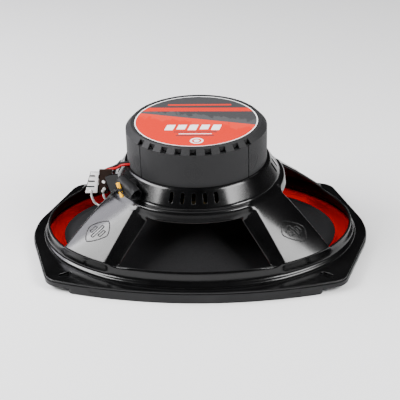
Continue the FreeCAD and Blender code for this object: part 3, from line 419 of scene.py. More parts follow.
def label_print():
    """Two-tone label: grey and coral fields with a slanted edge, a red stripe, plain bars, white border."""
    coral, light_coral = (0.56, 0.018, 0.008), (0.62, 0.034, 0.017)
    grey, light_grey, white = (0.042, 0.042, 0.044), (0.066, 0.066, 0.068), (0.85, 0.85, 0.85)
    paint = Paint("label_print", coral, 0.42, specular=0.15)
    radius = (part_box("rear_label")[1].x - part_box("rear_label")[0].x) / 2
    scaled = paint.node("ShaderNodeVectorMath", {"Scale": 1 / radius}, operation="SCALE")
    paint.link(paint.coordinates, scaled.inputs[0])
    split = paint.node("ShaderNodeSeparateXYZ")
    paint.link(scaled.outputs["Vector"], split.inputs[0])
    across, along = split.outputs["X"], split.outputs["Y"]

    def above(value, level):
        return paint.math("GREATER_THAN", value, level)

    def both(first, second):
        return paint.math("MULTIPLY", first, second)

    def band(value, low, high):
        return both(above(value, low), paint.math("LESS_THAN", value, high))

    def brush(stretch, level):
        strokes = paint.noise(2.2, 8, (stretch, 1, 0), 0.62, scaled.outputs["Vector"])
        return both(paint.math("SUBTRACT", strokes, 0.5), level)

    slope = paint.math("ADD", along, paint.math("MULTIPLY", across, 0.257))
    edge = paint.math("SUBTRACT", slope, 0.055)
    strokes = paint.math("ADD", edge, brush(2.0, 1.0))
    coral_field = paint.mix(above(strokes, -0.16), coral, light_coral)
    ragged = paint.math("ADD", edge, brush(3.0, 0.9))
    grey_strokes = both(paint.math("LESS_THAN", ragged, 0.16), above(edge, 0.0))
    grey_field = paint.mix(grey_strokes, grey, light_grey)
    color = paint.mix(above(edge, 0.0), coral_field, grey_field)
    stripe = paint.math("ADD", along, paint.math("MULTIPLY", across, 0.012))
    color = paint.mix(band(stripe, 0.36, 0.51), color, coral)
    color = paint.mix(both(band(along, 0.60, 0.66), band(across, -0.50, 0.56)), color, coral)

    def block(low_x, high_x, low_y, high_y, ink, base, lean=0.0):
        leant = paint.math("ADD", across, paint.math("MULTIPLY", along, lean))
        return paint.mix(both(band(leant, low_x, high_x), band(along, low_y, high_y)), base, ink)

    for i in range(5):
        start = -0.42 + i * 0.185
        color = block(start, start + 0.135, -0.39 + 0.028 * (i % 2), -0.185, white, color, -0.18)
    color = block(-0.33, 0.35, -0.475, -0.445, grey, color)
    color = block(-0.25, 0.27, -0.540, -0.518, white, color)
    color = block(-0.29, 0.31, -0.610, -0.580, grey, color)
    spot = paint.node("ShaderNodeVectorMath", operation="DISTANCE")
    flat = paint.node("ShaderNodeCombineXYZ")
    paint.link(across, flat.inputs["X"])
    paint.link(along, flat.inputs["Y"])
    paint.link(flat.outputs["Vector"], spot.inputs[0])
    spot.inputs[1].default_value = (0.045, -0.79, 0)
    ring = paint.math("ADD", paint.math("LESS_THAN", spot.outputs["Value"], 0.045),
                      band(spot.outputs["Value"], 0.075, 0.105))
    color = paint.mix(ring, color, white)
    rim = paint.node("ShaderNodeVectorMath", operation="LENGTH")
    paint.link(flat.outputs["Vector"], rim.inputs[0])
    color = paint.mix(above(rim.outputs["Value"], 0.982), color, white)
    paint.link(color, paint.shader.inputs["Base Color"])
    paint.rough(paint.noise(500), 0.34, 0.5)
    paint.bump(paint.noise(2500), 0.00002, 0.3)
    return paint.material


FINISHES["label_print"] = label_print()
INNER_ENAMEL = inner_enamel()
SLOTS = {entry["node"]: entry["material_slot"] for entry in frame["record"]["subparts"]}


def paint_cad_nodes():
    """Give every CAD node its finish."""
    for name, item in NODES.items():
        item.data.materials.clear()
        item.data.materials.append(FINISHES[SLOTS[name]])


# ---- mesh helpers
def new_piece(name, mesh, body, slot, *replaced):
    """Link a finished mesh as a piece of the object."""
    piece = linked(name, mesh)
    mesh.materials.clear()
    mesh.materials.append(FINISHES[slot])
    if body:
        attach(piece, body)
    if replaced:
        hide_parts(*replaced)
    return piece


def baked(piece):
    """Apply a piece's modifiers to its mesh."""
    mesh = evaluated_mesh(piece)
    piece.modifiers.clear()
    piece.data = mesh
    return mesh


def shade(mesh, angle):
    """Smooth shading with sharp edges past an angle."""
    mesh.polygons.foreach_set("use_smooth", [True] * len(mesh.polygons))
    work = bmesh.new()
    work.from_mesh(mesh)
    for edge in work.edges:
        edge.smooth = len(edge.link_faces) == 2 and edge.calc_face_angle(0) < radians(angle)
    work.to_mesh(mesh)
    work.free()


def even_normals(piece):
    """Smooth shading that keeps large flat faces flat."""
    piece.data.polygons.foreach_set("use_smooth", [True] * len(piece.data.polygons))
    piece.modifiers.new("normals", "WEIGHTED_NORMAL")
    baked(piece)


def bevelled(piece, width, segments=2, angle=30.0, clamp=False):
    """Round the sharp edges of a piece, width in millimetres, and shade it smooth."""
    bevel = piece.modifiers.new("edges", "BEVEL")
    bevel.width = width * MM
    bevel.segments = segments
    bevel.limit_method = "ANGLE"
    bevel.angle_limit = radians(angle)
    bevel.use_clamp_overlap = clamp
    baked(piece)
    even_normals(piece)


def softened(node, width):
    """Copy of a CAD node with its edges rounded, width in millimetres."""
    mesh = NODES[node].data.copy()
    work = bmesh.new()
    work.from_mesh(mesh)
    bmesh.ops.remove_doubles(work, verts=work.verts, dist=1e-6)
    bmesh.ops.dissolve_limit(work, angle_limit=radians(0.5), verts=work.verts, edges=work.edges)
    work.to_mesh(mesh)
    work.free()
    if "custom_normal" in mesh.attributes:
        mesh.attributes.remove(mesh.attributes["custom_normal"])
    piece = new_piece(node + "_soft", mesh, None, SLOTS[node], node)
    bevelled(piece, width, angle=32.0, clamp=True)
    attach(piece, NODES[node]["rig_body"])


# ---- basket hull
SILL = (108.3, 76.6, 17.6)
SHOULDER = (62.0, 62.0, 47.0)
SPOKE_RISE = 2.2
OUTER_LINE = ((59.5, 22.0), (89.0, 43.0))
INNER_LINE = ((40.8, 48.4), (57.1, 64.0))
WINDOW_TOP = (31.6, 46.5)
WINDOW_FOOT = (50.7, 18.4)
WALL = 1.7


def hull_point(angle, rise):
    """Point of the basket's ruled hull: rise 0 at the sill, 1 at the shoulder."""
    long_axis = SILL[0] + (SHOULDER[0] - SILL[0]) * rise
    short_axis = SILL[1] + (SHOULDER[1] - SILL[1]) * rise
    height = SILL[2] + (SHOULDER[2] - SILL[2]) * rise
    return Vector((long_axis * cos(angle), short_axis * sin(angle), height))


def hull_normal(angle, rise):
    """Outward normal of the hull."""
    step = 1e-3
    around = hull_point(angle + step, rise) - hull_point(angle - step, rise)
    upward = hull_point(angle, rise + step) - hull_point(angle, rise - step)
    return around.cross(upward).normalized()


def line_angle(line, rise):
    """Angle where a vertical plane over a plan line meets the hull at a rise."""
    start, end = Vector(line[0]), Vector(line[1])
    across = Vector((-(end - start).y, (end - start).x))
    low, high = 0.0, pi / 2

    def side(angle):
        return across.dot(hull_point(angle, rise).xy - start)

    for _ in range(50):
        middle = (low + high) / 2
        if side(low) * side(middle) <= 0:
            high = middle
        else:
            low = middle
    return (low + high) / 2


def window_angle(rise):
    """Angle of the long window's edge at a rise."""
    point = hull_point(0, rise)
    share = (WINDOW_TOP[1] - point.z) / (WINDOW_TOP[1] - WINDOW_FOOT[1])
    half = WINDOW_TOP[0] + (WINDOW_FOOT[0] - WINDOW_TOP[0]) * share
    return acos(half / point.x)


def shifted(angle, rise, distance):
    """Angle moved along the hull by a distance in millimetres."""
    step = 1e-3
    speed = (hull_point(angle + step, rise) - hull_point(angle - step, rise)).length / (2 * step)
    return angle + distance / speed


def quadrant_columns(rise):
    """Columns of one quadrant, end window to long window: (angle, height above the hull, what it is)."""
    outer = line_angle(OUTER_LINE, rise)
    inner = line_angle(INNER_LINE, rise)
    window = window_angle(rise)
    columns = [(outer * share, 0.0, "end") for share in (0.0, 0.3, 0.6, 0.86)]
    columns.append((outer, 0.7, "edge"))
    columns.append((shifted(outer, rise, 0.9), SPOKE_RISE - 0.15, "spoke"))
    columns.append((shifted(outer, rise, 3.2), SPOKE_RISE, "spoke"))
    first, last = shifted(outer, rise, 5.0), shifted(inner, rise, -4.0)
    for share in (0.2, 0.5, 0.8):
        columns.append((first + (last - first) * share, SPOKE_RISE + 0.15, "spoke"))
    columns.append((shifted(inner, rise, -2.6), SPOKE_RISE, "spoke"))
    columns.append((shifted(inner, rise, -0.6), SPOKE_RISE - 0.1, "spoke"))
    columns.append((shifted(inner, rise, 0.4), SPOKE_RISE - 0.6, "spoke"))
    gap = window - shifted(inner, rise, 0.4)
    for share, lift in ((0.34, 0.1), (0.60, -1.0), (0.76, -1.7), (0.90, -2.4)):
        columns.append((window - (1 - share) * gap, lift, "frame"))
    columns.append((window, -3.1, "rim"))
    for share in (0.12, 0.45):
        columns.append((window + (pi / 2 - window) * share, 0.0, "window"))
    columns.append((pi / 2, 0.0, "window"))
    return columns


RISES = (0.0, 0.0272, 0.06, 0.13, 0.26, 0.42, 0.58, 0.74, 0.87, 0.94, 0.965, 0.983, 1.0)
LAST_RISE = len(RISES) - 1
FRAME_DEPTH = {0: 0.2, 1: 0.55, 2: 0.85, LAST_RISE - 2: 0.8, LAST_RISE - 1: 0.5, LAST_RISE: 0.2}


# Rows below the hull: long axis, short axis, height, share of the spoke's rise.
FOOT_ROWS = [(112.6, 81.1, 7.6, 0.0), (112.3, 80.8, 8.6, 0.0), (111.7, 80.2, 9.7, 0.0),
             (110.8, 79.3, 10.2, 0.0), (109.9, 78.3, 11.0, 0.04), (109.3, 77.6, 13.2, 0.15),
             (108.9, 77.2, 15.6, 0.45),
             (108.6, 76.9, 16.9, 0.82)]
# Rows above the hull: radius, height, share of the spoke's rise.
TOP_ROWS = [(61.7, 48.2, 0.95), (61.2, 50.0, 0.8), (60.9, 51.4, 0.5), (60.6, 52.4, 0.25), (60.1, 53.1, 0.1),
            (59.3, 53.45, 0.0), (58.2, 53.7, 0.0), (57.5, 54.0, 0.0), (56.9, 54.7, 0.0), (56.3, 55.6, 0.0)]
FAIRED_ROWS = 7
HEAD_FOOT = (63.5, 48.6)
HEAD_RUN = (5.6, 5.1)
HEAD_CROWN = 0.45


def spoke_head(share):
    """Radius and height where a spoke runs straight up to the neck's foot, slightly full."""
    radius = HEAD_FOOT[0] - HEAD_RUN[0] * share
    height = HEAD_FOOT[1] + HEAD_RUN[1] * share + HEAD_CROWN * sin(pi * share)
    return radius, height


def hull_rows():
    """Grid of one quadrant: rows of points from the flange to the neck's foot."""
    rows = []
    foot = quadrant_columns(0.0)
    for long_axis, short_axis, height, share in FOOT_ROWS:
        row = []
        for angle, lift, kind in foot:
            point = Vector((long_axis * cos(angle), short_axis * sin(angle), height))
            row.append(point + hull_normal(angle, 0.0) * (max(lift, 0.0) * share))
        rows.append(row)
    for index, rise in enumerate(RISES):
        row = []
        for angle, lift, kind in quadrant_columns(rise):
            if kind in ("rim", "frame"):
                lift *= FRAME_DEPTH.get(index, 1.0)
            row.append(hull_point(angle, rise) + hull_normal(angle, rise) * lift)
        rows.append(row)
    for index, (radius, height, share) in enumerate(TOP_ROWS):
        row = []
        for angle, lift, kind in quadrant_columns(1.0):
            if kind == "spoke" and index < FAIRED_ROWS:
                reach, level = spoke_head((index + 1) / FAIRED_ROWS)
                point = Vector((reach * cos(angle), reach * sin(angle), level))
            else:
                point = Vector((radius * cos(angle), radius * sin(angle), height))
                point += hull_normal(angle, 1.0) * (max(lift, 0.0) * share)
            row.append(point)
        rows.append(row)
    return rows


def is_open(row, kind_a, kind_b):
    """Whether the face above a row between two columns lies in a window."""
    level = row - len(FOOT_ROWS)
    if {kind_a, kind_b} <= {"end", "edge"} and "end" in (kind_a, kind_b):
        return 0 <= level < LAST_RISE
    if {kind_a, kind_b} <= {"window", "rim"} and "window" in (kind_a, kind_b):
        return 1 <= level < LAST_RISE - 1
    return False


def mirrored(row):
    """One quadrant's row of points carried all the way round."""
    half = row[:-1] + [Vector((-p.x, p.y, p.z)) for p in row[:0:-1]]
    return half + [Vector((-p.x, -p.y, p.z)) for p in half]


def basket_shell():
    """Ridge, sill, spokes, window frames and shoulder of the pressed basket as one smooth shell."""
    kinds = [kind for angle, lift, kind in quadrant_columns(0.5)]
    names = (kinds[:-1] + kinds[:0:-1]) * 2
    grid = [mirrored(row) for row in hull_rows()]
    work = bmesh.new()
    spots = [[work.verts.new(p * MM) for p in row] for row in grid]
    around = len(names)
    for r in range(len(grid) - 1):
        for c in range(around):
            following = (c + 1) % around
            if not is_open(r, names[c], names[following]):
                work.faces.new((spots[r][c], spots[r][following], spots[r + 1][following], spots[r + 1][c]))
    bmesh.ops.delete(work, geom=[v for v in work.verts if not v.link_faces], context="VERTS")
    mesh = mesh_of(work, "basket_shell")
    piece = new_piece("basket_shell", mesh, None, "basket_enamel", "basket")
    solid = piece.modifiers.new("wall", "SOLIDIFY")
    solid.thickness = WALL * MM
    solid.offset = -1
    mesh.materials.append(INNER_ENAMEL)
    solid.material_offset = 1
    solid.material_offset_rim = 1
    smooth = piece.modifiers.new("smooth", "SUBSURF")
    smooth.levels = 2
    smooth.render_levels = 2
    mesh = baked(piece)
    mesh.polygons.foreach_set("use_smooth", [True] * len(mesh.polygons))
    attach(piece, "frame")


# ---- revolved and extruded pieces
def revolved(profile, segments=160):
    """Mesh turned about Z from (radius, height) corners in millimetres."""
    work = bmesh.new()
    rings = []
    for angle in turns(segments):
        x, y = cos(angle), sin(angle)
        rings.append([work.verts.new((r * x * MM, r * y * MM, z * MM)) for r, z in profile])
    count = len(profile)
    for i in range(segments):
        here, there = rings[i], rings[(i + 1) % segments]
        for j in range(count):
            k = (j + 1) % count
            work.faces.new((here[j], there[j], there[k], here[k]))
    mesh = mesh_of(work, "turned")
    return mesh


def rounded(corners, radius, steps=3):
    """Closed profile with its corners rounded by a radius, or by less where the sides are short."""
    result = []
    count = len(corners)
    for i, corner in enumerate(corners):
        here = Vector(corner)
        before = Vector(corners[i - 1]) - here
        after = Vector(corners[(i + 1) % count]) - here
        reach = min(radius, before.length * 0.45, after.length * 0.45)
        start = here + before.normalized() * reach
        end = here + after.normalized() * reach
        for step in range(steps + 1):
            t = step / steps
            result.append(tuple(start * (1 - t) ** 2 + here * (2 * t * (1 - t)) + end * t ** 2))
    return result


def cut_with(piece, blocks):
    """Subtract a compound of blocks from a piece."""
    tool = linked("tool", blocks)
    boolean = piece.modifiers.new("cut", "BOOLEAN")
    boolean.operation = "DIFFERENCE"
    boolean.solver = "EXACT"
    boolean.object = tool
    baked(piece)
    bpy.data.objects.remove(tool)


def slot_block(work, width, height, depth, matrix):
    """Rounded slot as a closed prism along local Y, added to a bmesh."""
    outline = []
    for centre, start in ((height / 2 - width / 2, 0.0), (width / 2 - height / 2, pi)):
        for step in range(9):
            angle = start + pi * step / 8
            outline.append((width / 2 * cos(angle), centre + width / 2 * sin(angle)))
    near = [work.verts.new(matrix @ Vector((x * MM, -depth / 2 * MM, z * MM))) for x, z in outline]
    far = [work.verts.new(matrix @ Vector((x * MM, depth / 2 * MM, z * MM))) for x, z in outline]
    work.faces.new(near)
    work.faces.new(far[::-1])
    for i in range(len(near)):
        j = (i + 1) % len(near)
        work.faces.new((near[j], near[i], far[i], far[j]))


def basket_neck():
    """Neck and motor face, with vent slots at front, rear and both ends."""
    profile = rounded([(57.2, 54.0), (56.6, 55.4), (50.6, 65.0), (49.6, 66.0), (22.0, 66.0), (22.0, 64.0),
                       (48.3, 64.0), (54.6, 54.9), (56.0, 53.4)], 0.7)
    piece = new_piece("basket_neck", revolved(profile), None, "basket_enamel", "basket")
    work = bmesh.new()
    slant = atan2(56.6 - 50.0, 66.0 - 55.4)
    spacing, radius, level = 8.0, 53.3, 60.5
    width, height, depth = 2.5, 7.4, 9.0
    for middle, number in ((0, 5), (90, 3), (180, 5), (270, 3)):
        for i in range(number):
            turn = Matrix.Rotation(radians(middle + (i - (number - 1) / 2) * spacing), 4, "Z")
            move = Matrix.Translation((0, -radius * MM, level * MM))
            slot_block(work, width, height, depth, turn @ move @ Matrix.Rotation(-slant, 4, "X"))
    bmesh.ops.recalc_face_normals(work, faces=work.faces)
    blocks = mesh_of(work, "vents")
    cut_with(piece, blocks)
    bevelled(piece, 0.32, 3, 50.0)
    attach(piece, "frame")


def flange_spots():
    """Outline of the flange in plan, millimetres."""
    half_length, half_width, side_radius = 118.6, 84.0, 308.0
    ear_x, ear_radius, end_y, end_rise = 89.3, 12.2, 22.0, 4.2
    arc_steps = 10
    side_centre = half_width - side_radius
    ear_y = side_centre + sqrt((side_radius - ear_radius) ** 2 - ear_x ** 2)
    side_angle = atan2(ear_y - side_centre, ear_x)
    end_x = half_length - end_rise
    reach = hypot(end_x - ear_x, end_y - ear_y)
    touch = atan2(end_y - ear_y, end_x - ear_x) + acos(ear_radius / reach)
    end_radius = (end_y ** 2 + end_rise ** 2) / (2 * end_rise)
    spots = []
    for step in range(arc_steps + 1):
        y = end_y * step / arc_steps
        spots.append((half_length - end_radius + sqrt(end_radius ** 2 - y ** 2), y))
    for step in range(arc_steps + 1):
        angle = touch + (side_angle - touch) * step / arc_steps
        spots.append((ear_x + ear_radius * cos(angle), ear_y + ear_radius * sin(angle)))
    for step in range(1, 2 * arc_steps + 1):
        x = spots[2 * arc_steps + 1][0] * (1 - step / (2 * arc_steps))
        spots.append((x, side_centre + sqrt(side_radius ** 2 - x ** 2)))
    spots = spots + [(-x, y) for x, y in spots[-2::-1]]
    return spots + [(x, -y) for x, y in spots[-2:0:-1]]


def filled_curve(name, outlines, bottom, top, rounding):
    """Flat plate from closed outlines with rounded edges; later outlines are holes."""
    curve = bpy.data.curves.new(name, "CURVE")
    curve.dimensions = "2D"
    curve.fill_mode = "BOTH"
    curve.extrude = ((top - bottom) / 2 - rounding) * MM
    curve.bevel_depth = rounding * MM
    curve.bevel_resolution = 2
    curve.offset = -rounding * MM
    for outline in outlines:
        spline = curve.splines.new("POLY")
        spline.use_cyclic_u = True
        spline.points.add(len(outline) - 1)
        for spot, (x, y) in zip(spline.points, outline):
            spot.co = (x * MM, y * MM, 0, 1)
    item = linked(name, curve)
    item.location.z = (top + bottom) / 2 * MM
    bpy.context.view_layer.update()
    mesh = evaluated_mesh(item)
    mesh.transform(item.matrix_world)
    bpy.data.objects.remove(item)
    return mesh


def slot_outlines():
    """The four mounting slots in plan."""
    outlines = []
    slant, half_run, radius, place_x, place_y = 33.0, 2.0, 2.5, 87.2, 62.0
    for sx in (1, -1):
        for sy in (1, -1):
            angle = radians(slant * sx * sy)
            outline = []
            for end in (1, -1):
                for step in range(9):
                    turn = -pi / 2 + pi * step / 8 + (0 if end == 1 else pi)
                    x, y = end * half_run + radius * cos(turn), radius * sin(turn)
                    outline.append((sx * place_x + x * cos(angle) - y * sin(angle),
                                    sy * place_y + x * sin(angle) + y * cos(angle)))
            outlines.append(outline)
    return outlines


def basket_flange():
    """Flat flange with its slots, under the ridge."""
    inner = [(110.6 * cos(a), 79.1 * sin(a)) for a in turns(120)]
    mesh = filled_curve("flange", [flange_spots(), inner] + slot_outlines(), 6.5, 8.0, 0.35)
    piece = new_piece("basket_flange", mesh, None, "basket_enamel", "basket")
    even_normals(piece)
    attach(piece, "frame")


# ---- suspension
def smoothstep(value):
    """Soft step from 0 to 1."""
    value = min(1.0, max(0.0, value))
    return value * value * (3 - 2 * value)


def blended(piece):
    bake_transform(piece)


def grid_mesh(name, rows, closed=True):
    """Mesh from rows of points in millimetres, each row a loop."""
    vertices = [point * MM for row in rows for point in row]
    faces = ring_faces(len(rows), len(rows[0]), closed=closed)
    mesh = mesh_from(name, vertices, faces)
    work = bmesh.new()
    work.from_mesh(mesh)
    bmesh.ops.recalc_face_normals(work, faces=work.faces)
    work.to_mesh(mesh)
    work.free()
    return mesh


def surround_profile():
    """Section of the surround: (inward from the roll's outer edge, height), back face then front face."""
    land, depth, width, thick, steps = 6.5, 4.2, 12.0, 0.8, 24
    back = [(-4.7, land), (-2.4, land), (-0.5, land)]
    for step in range(steps + 1):
        angle = pi * step / steps
        back.append((width / 2 - width / 2 * cos(angle), land - depth * sin(angle)))
    back += [(12.6, land), (14.2, land), (15.9, land)]
    front = []
    for index in range(len(back)):
        before, after = Vector(back[max(0, index - 1)]), Vector(back[min(len(back) - 1, index + 1)])
        direction = (after - before).normalized()
        front.append((back[index][0] - direction.y * -thick, back[index][1] - direction.x * thick))
    return back + front[::-1]


def surround_roll():
    """Half roll of red rubber around the cone, held by its two lands."""
    long_axis, short_axis = 109.2, 77.6
    profile = surround_profile()
    count = 288
    rows = []
    for inward, height in profile:
        row = []
        for angle in turns(count):
            normal = Vector((short_axis * cos(angle), long_axis * sin(angle), 0)).normalized()
            spot = Vector((long_axis * cos(angle), short_axis * sin(angle), height))
            row.append(spot - normal * inward)
        rows.append(row)
    piece = new_piece("surround_roll", grid_mesh("surround_roll", rows), None, "red_rubber", "surround")
    shade(piece.data, 60.0)
    blended(piece)


def spider_cloth():
    """Corrugated cloth disc between the coil former and the ledge."""
    back = [(15.56, 51.3), (17.0, 51.3), (18.4, 51.28)]
    start, span, steps = 19.0, 35.0, 160
    outer, blend_in, height_of_wave, half_pitch, thickness = 54.0, 1.2, 0.65, 2.0, 0.66
    for step in range(steps + 1):
        radius = start + span * step / steps
        fade = smoothstep((radius - start) / blend_in) * smoothstep((outer - radius) / blend_in)
        wave = height_of_wave * fade * sin((radius - start) / half_pitch * pi)
        lift = 0.35 * smoothstep((radius - 51.0) / 3.0)
        back.append((radius, 51.3 - wave + lift))
    back += [(55.5, 51.98), (58.1, 51.98)]
    front = [(radius, height - thickness) for radius, height in back[::-1]]
    profile = back + front
    count = 144
    rows = [oval(radius, radius, height, count) for radius, height in profile]
    piece = new_piece("spider_cloth", grid_mesh("spider_cloth", rows), None, "spider_cloth", "spider")
    shade(piece.data, 60.0)
    blended(piece)


def cone_shell():
    """Pressed paper cone: oval rim with a flat lip, round neck."""
    rim, mouth, neck = Vector((97.1, 65.5)), Vector((93.2, 61.6)), Vector((16.45, 16.45))
    steps, count = 28, 216
    back = [(rim, 6.5), (rim, 7.4), (Vector((95.0, 63.4)), 7.4)]
    for step in range(steps + 1):
        share = step / steps
        back.append((mouth.lerp(neck, share) + Vector((0.7, 0.7)) * (1 - share), 7.2 + 30.8 * share))
    front = [(Vector((15.56, 15.56)), 38.0), (Vector((15.56, 15.56)), 37.1)]
    for step in range(steps + 1):
        share = step / steps
        front.append((Vector((15.6, 15.6)).lerp(mouth, share), 37.0 - 30.5 * share))
    rows = [oval(axes.x, axes.y, height, count) for axes, height in back + front]
    piece = new_piece("cone_shell", grid_mesh("cone_shell", rows), "cone_assembly", "cone_paper", "cone")
    shade(piece.data, 50.0)


# ---- wires
def route(points):
    """Points along the smooth curve that a lead's route controls, in millimetres."""
    curve = bpy.data.curves.new("route", "CURVE")
    curve.dimensions = "3D"
    spline = curve.splines.new("NURBS")
    spline.points.add(len(points) - 1)
    for spot, point in zip(spline.points, points):
        spot.co = (*(Vector(point) * MM), 1)
    spline.order_u = 3
    spline.use_endpoint_u = True
    spline.resolution_u = 12
    item = linked("route", curve)
    bpy.context.view_layer.update()
    mesh = evaluated_mesh(item)
    path = [vertex.co / MM for vertex in mesh.vertices]
    bpy.data.objects.remove(item)
    return path


def ring_about(centre, side, other, radius, sides):
    """Points around a centre in the plane of two directions."""
    return [centre + (side * cos(a) + other * sin(a)) * radius for a in turns(sides)]


def path_frames(path):
    """Two directions across the path at each point, carried along without twist."""
    tangent = (path[1] - path[0]).normalized()
    side = tangent.orthogonal().normalized()
    frames = []
    for i in range(len(path)):
        tangent = (path[min(i + 1, len(path) - 1)] - path[max(i - 1, 0)]).normalized()
        side = (side - tangent * side.dot(tangent)).normalized()
        frames.append((side, tangent.cross(side)))
    return frames


def strand_rows(path, radius, offset, phase, pitch, sides):
    """Rings of one round strand that may wind about the path."""
    frames = path_frames(path)
    centres, run = [], 0.0
    for i, (spot, (side, other)) in enumerate(zip(path, frames)):
        if i:
            run += (spot - path[i - 1]).length
        turn = phase + 2 * pi * run / pitch
        centres.append(spot + (side * cos(turn) + other * sin(turn)) * offset)
    return [ring_about(centre, *frame, radius, sides) for centre, frame in zip(centres, frames)]


def strands(name, path, radius, count=1, offset=0.0, pitch=5.0, sides=12):
    """Mesh of round strands wound about a path, closed at both ends, and each vertex's share of it."""
    vertices, faces, shares = [], [], []
    for strand in range(count):
        rows = strand_rows(path, radius, offset, 2 * pi * strand / count, pitch, sides)
        base = len(vertices)
        for r, row in enumerate(rows):
            vertices.extend(point * MM for point in row)
            shares.extend([r / (len(rows) - 1)] * sides)
        faces.extend(ring_faces(len(rows), sides, base, closed=False))
        faces.append(tuple(base + k for k in range(sides))[::-1])
        faces.append(tuple(base + (len(rows) - 1) * sides + k for k in range(sides)))
    mesh = mesh_from(name, vertices, faces)
    shade(mesh, 60.0)
    return mesh, shares


TINSEL_FRONT = [(-73.6, -13.2, 44.0), (-73.6, -13.2, 39.6), (-71.3, -13.8, 35.6), (-66.5, -14.4, 32.9),
                (-60.5, -13.6, 31.6), (-52.0, -11.8, 32.4), (-43.0, -9.4, 35.0), (-35.0, -7.4, 38.2),
                (-28.5, -6.0, 38.6), (-28.5, -6.0, 34.2)]
TINSEL_REAR = [(-65.5, -12.0, 43.0), (-65.5, -12.0, 39.4), (-63.4, -8.4, 35.6), (-59.0, -4.0, 33.6),
               (-53.0, 0.2, 33.2), (-45.5, 3.6, 34.8), (-36.5, 5.6, 38.0), (-28.5, 6.0, 38.6),
               (-28.5, 6.0, 34.2)]


def tinsel_leads():
    """Two leads of three wound strands, from the terminals to the cone's eyelets."""
    for name, points in (("tinsel_lead_front", TINSEL_FRONT), ("tinsel_lead_rear", TINSEL_REAR)):
        winding = {"count": 3, "offset": 0.41, "pitch": 4.2, "sides": 10}
        mesh, shares = strands(name + "_braid", route(points), 0.47, **winding)
        piece = new_piece(name + "_braid", mesh, None, SLOTS[name], name)
        blended(piece)


# ---- small relief
def motif_lines():
    """Generic mark in its own plane, about 18 by 20: a rounded lozenge with three bars."""
    outline = []
    for i in range(49):
        angle = 2 * pi * i / 48
        x, y = cos(angle), sin(angle)
        shrink = (abs(x) ** 1.35 + abs(y) ** 1.35) ** (-1 / 1.35)
        outline.append((8.8 * x * shrink, 10.2 * y * shrink))
    bars = []
    for x, half in ((-4.0, 2.6), (0.0, 5.4), (4.0, 2.6)):
        bars.append([(x - 1.1, -half), (x - 1.1, half), (x + 1.1, half), (x + 1.1, -half), (x - 1.1, -half)])
    return [outline] + bars


def relief(name, surface, thickness, slot, scale=1.0):
    """Thin raised beads on a surface, which gives points by (across, along) and their normals."""
    vertices, faces = [], []
    sides = 6
    for line in motif_lines():
        dense = []
        for a, b in zip(line, line[1:]):
            for k in range(3):
                dense.append(Vector(a).lerp(Vector(b), k / 3))
        path = [surface(p.x * scale, p.y * scale) for p in dense]
        count = len(path)
        base = len(vertices)
        for i, spot in enumerate(path):
            tangent = (path[(i + 1) % count] - path[i - 1]).normalized()
            normal = surface.normal(spot)
            side = (normal - tangent * normal.dot(tangent)).normalized()
            other = tangent.cross(side)
            vertices.extend(p * MM for p in ring_about(spot, side, other, thickness, sides))
        faces.extend(ring_faces(count, sides, base))
    mesh = mesh_from(name, vertices, faces)
    shade(mesh, 70.0)
    new_piece(name, mesh, "frame", slot)


class SpokeSurface:
    """Points on the outside of one spoke, by distance across and up from the middle of its mark."""

    RISE = 0.47

    def __init__(self, sx, sy):
        self.sx, self.sy, rise = sx, sy, self.RISE
        self.middle = (line_angle(OUTER_LINE, rise) + line_angle(INNER_LINE, rise)) / 2
        self.length = (hull_point(self.middle, 1.0) - hull_point(self.middle, 0.0)).length

    def __call__(self, across, along):
        rise = self.RISE + along / self.length
        angle = shifted(self.middle, rise, across)
        point = hull_point(angle, rise) + hull_normal(angle, rise) * (SPOKE_RISE + 0.02)
        return Vector((self.sx * point.x, self.sy * point.y, point.z))

    def normal(self, spot):
        point = hull_normal(self.middle, self.RISE)
        return Vector((self.sx * point.x, self.sy * point.y, point.z))


class BootSurface:
    """Points on the boot's wall, by distance around and up from a place on it."""

    RADIUS, MARK_RADIUS, HEIGHT = 48.3, 48.25, 77.0

    def __init__(self, turn):
        self.turn = radians(turn)

    def __call__(self, across, along):
        angle = self.turn + across / self.RADIUS
        return Vector((self.MARK_RADIUS * cos(angle), self.MARK_RADIUS * sin(angle), self.HEIGHT + along))

    def normal(self, spot):
        return Vector((spot.x, spot.y, 0)).normalized()


def marks():
    """Generic raised marks on the spokes and, fainter, on the boot."""
    for sx in (1, -1):
        for sy in (1, -1):
            side = ("right" if sx > 0 else "left") + ("_rear" if sy > 0 else "_front")
            relief("spoke_mark_" + side, SpokeSurface(sx, sy), 0.38, "basket_enamel")
    for turn in (-90, -38, -142, 38, 90, 142):
        relief(f"boot_mark_{turn % 360}", BootSurface(turn), 0.16, "boot_plastic", 0.75)


# ---- terminal parts and crossover
CAPACITOR_START = Vector((-49.5, -33.4, 63.6))
CAPACITOR_AXIS = Vector((0.645, -0.730, -0.235)).normalized()


def capacitor_frame():
    """Directions outward, across and along the capacitor."""
    outward = Vector((CAPACITOR_AXIS.y, -CAPACITOR_AXIS.x, 0)).normalized()
    return outward, CAPACITOR_AXIS.cross(outward), CAPACITOR_AXIS


def at_capacitor(x, y, z):
    """Point in the capacitor's own frame, millimetres."""
    outward, across, along = capacitor_frame()
    return CAPACITOR_START + outward * x + across * y + along * z


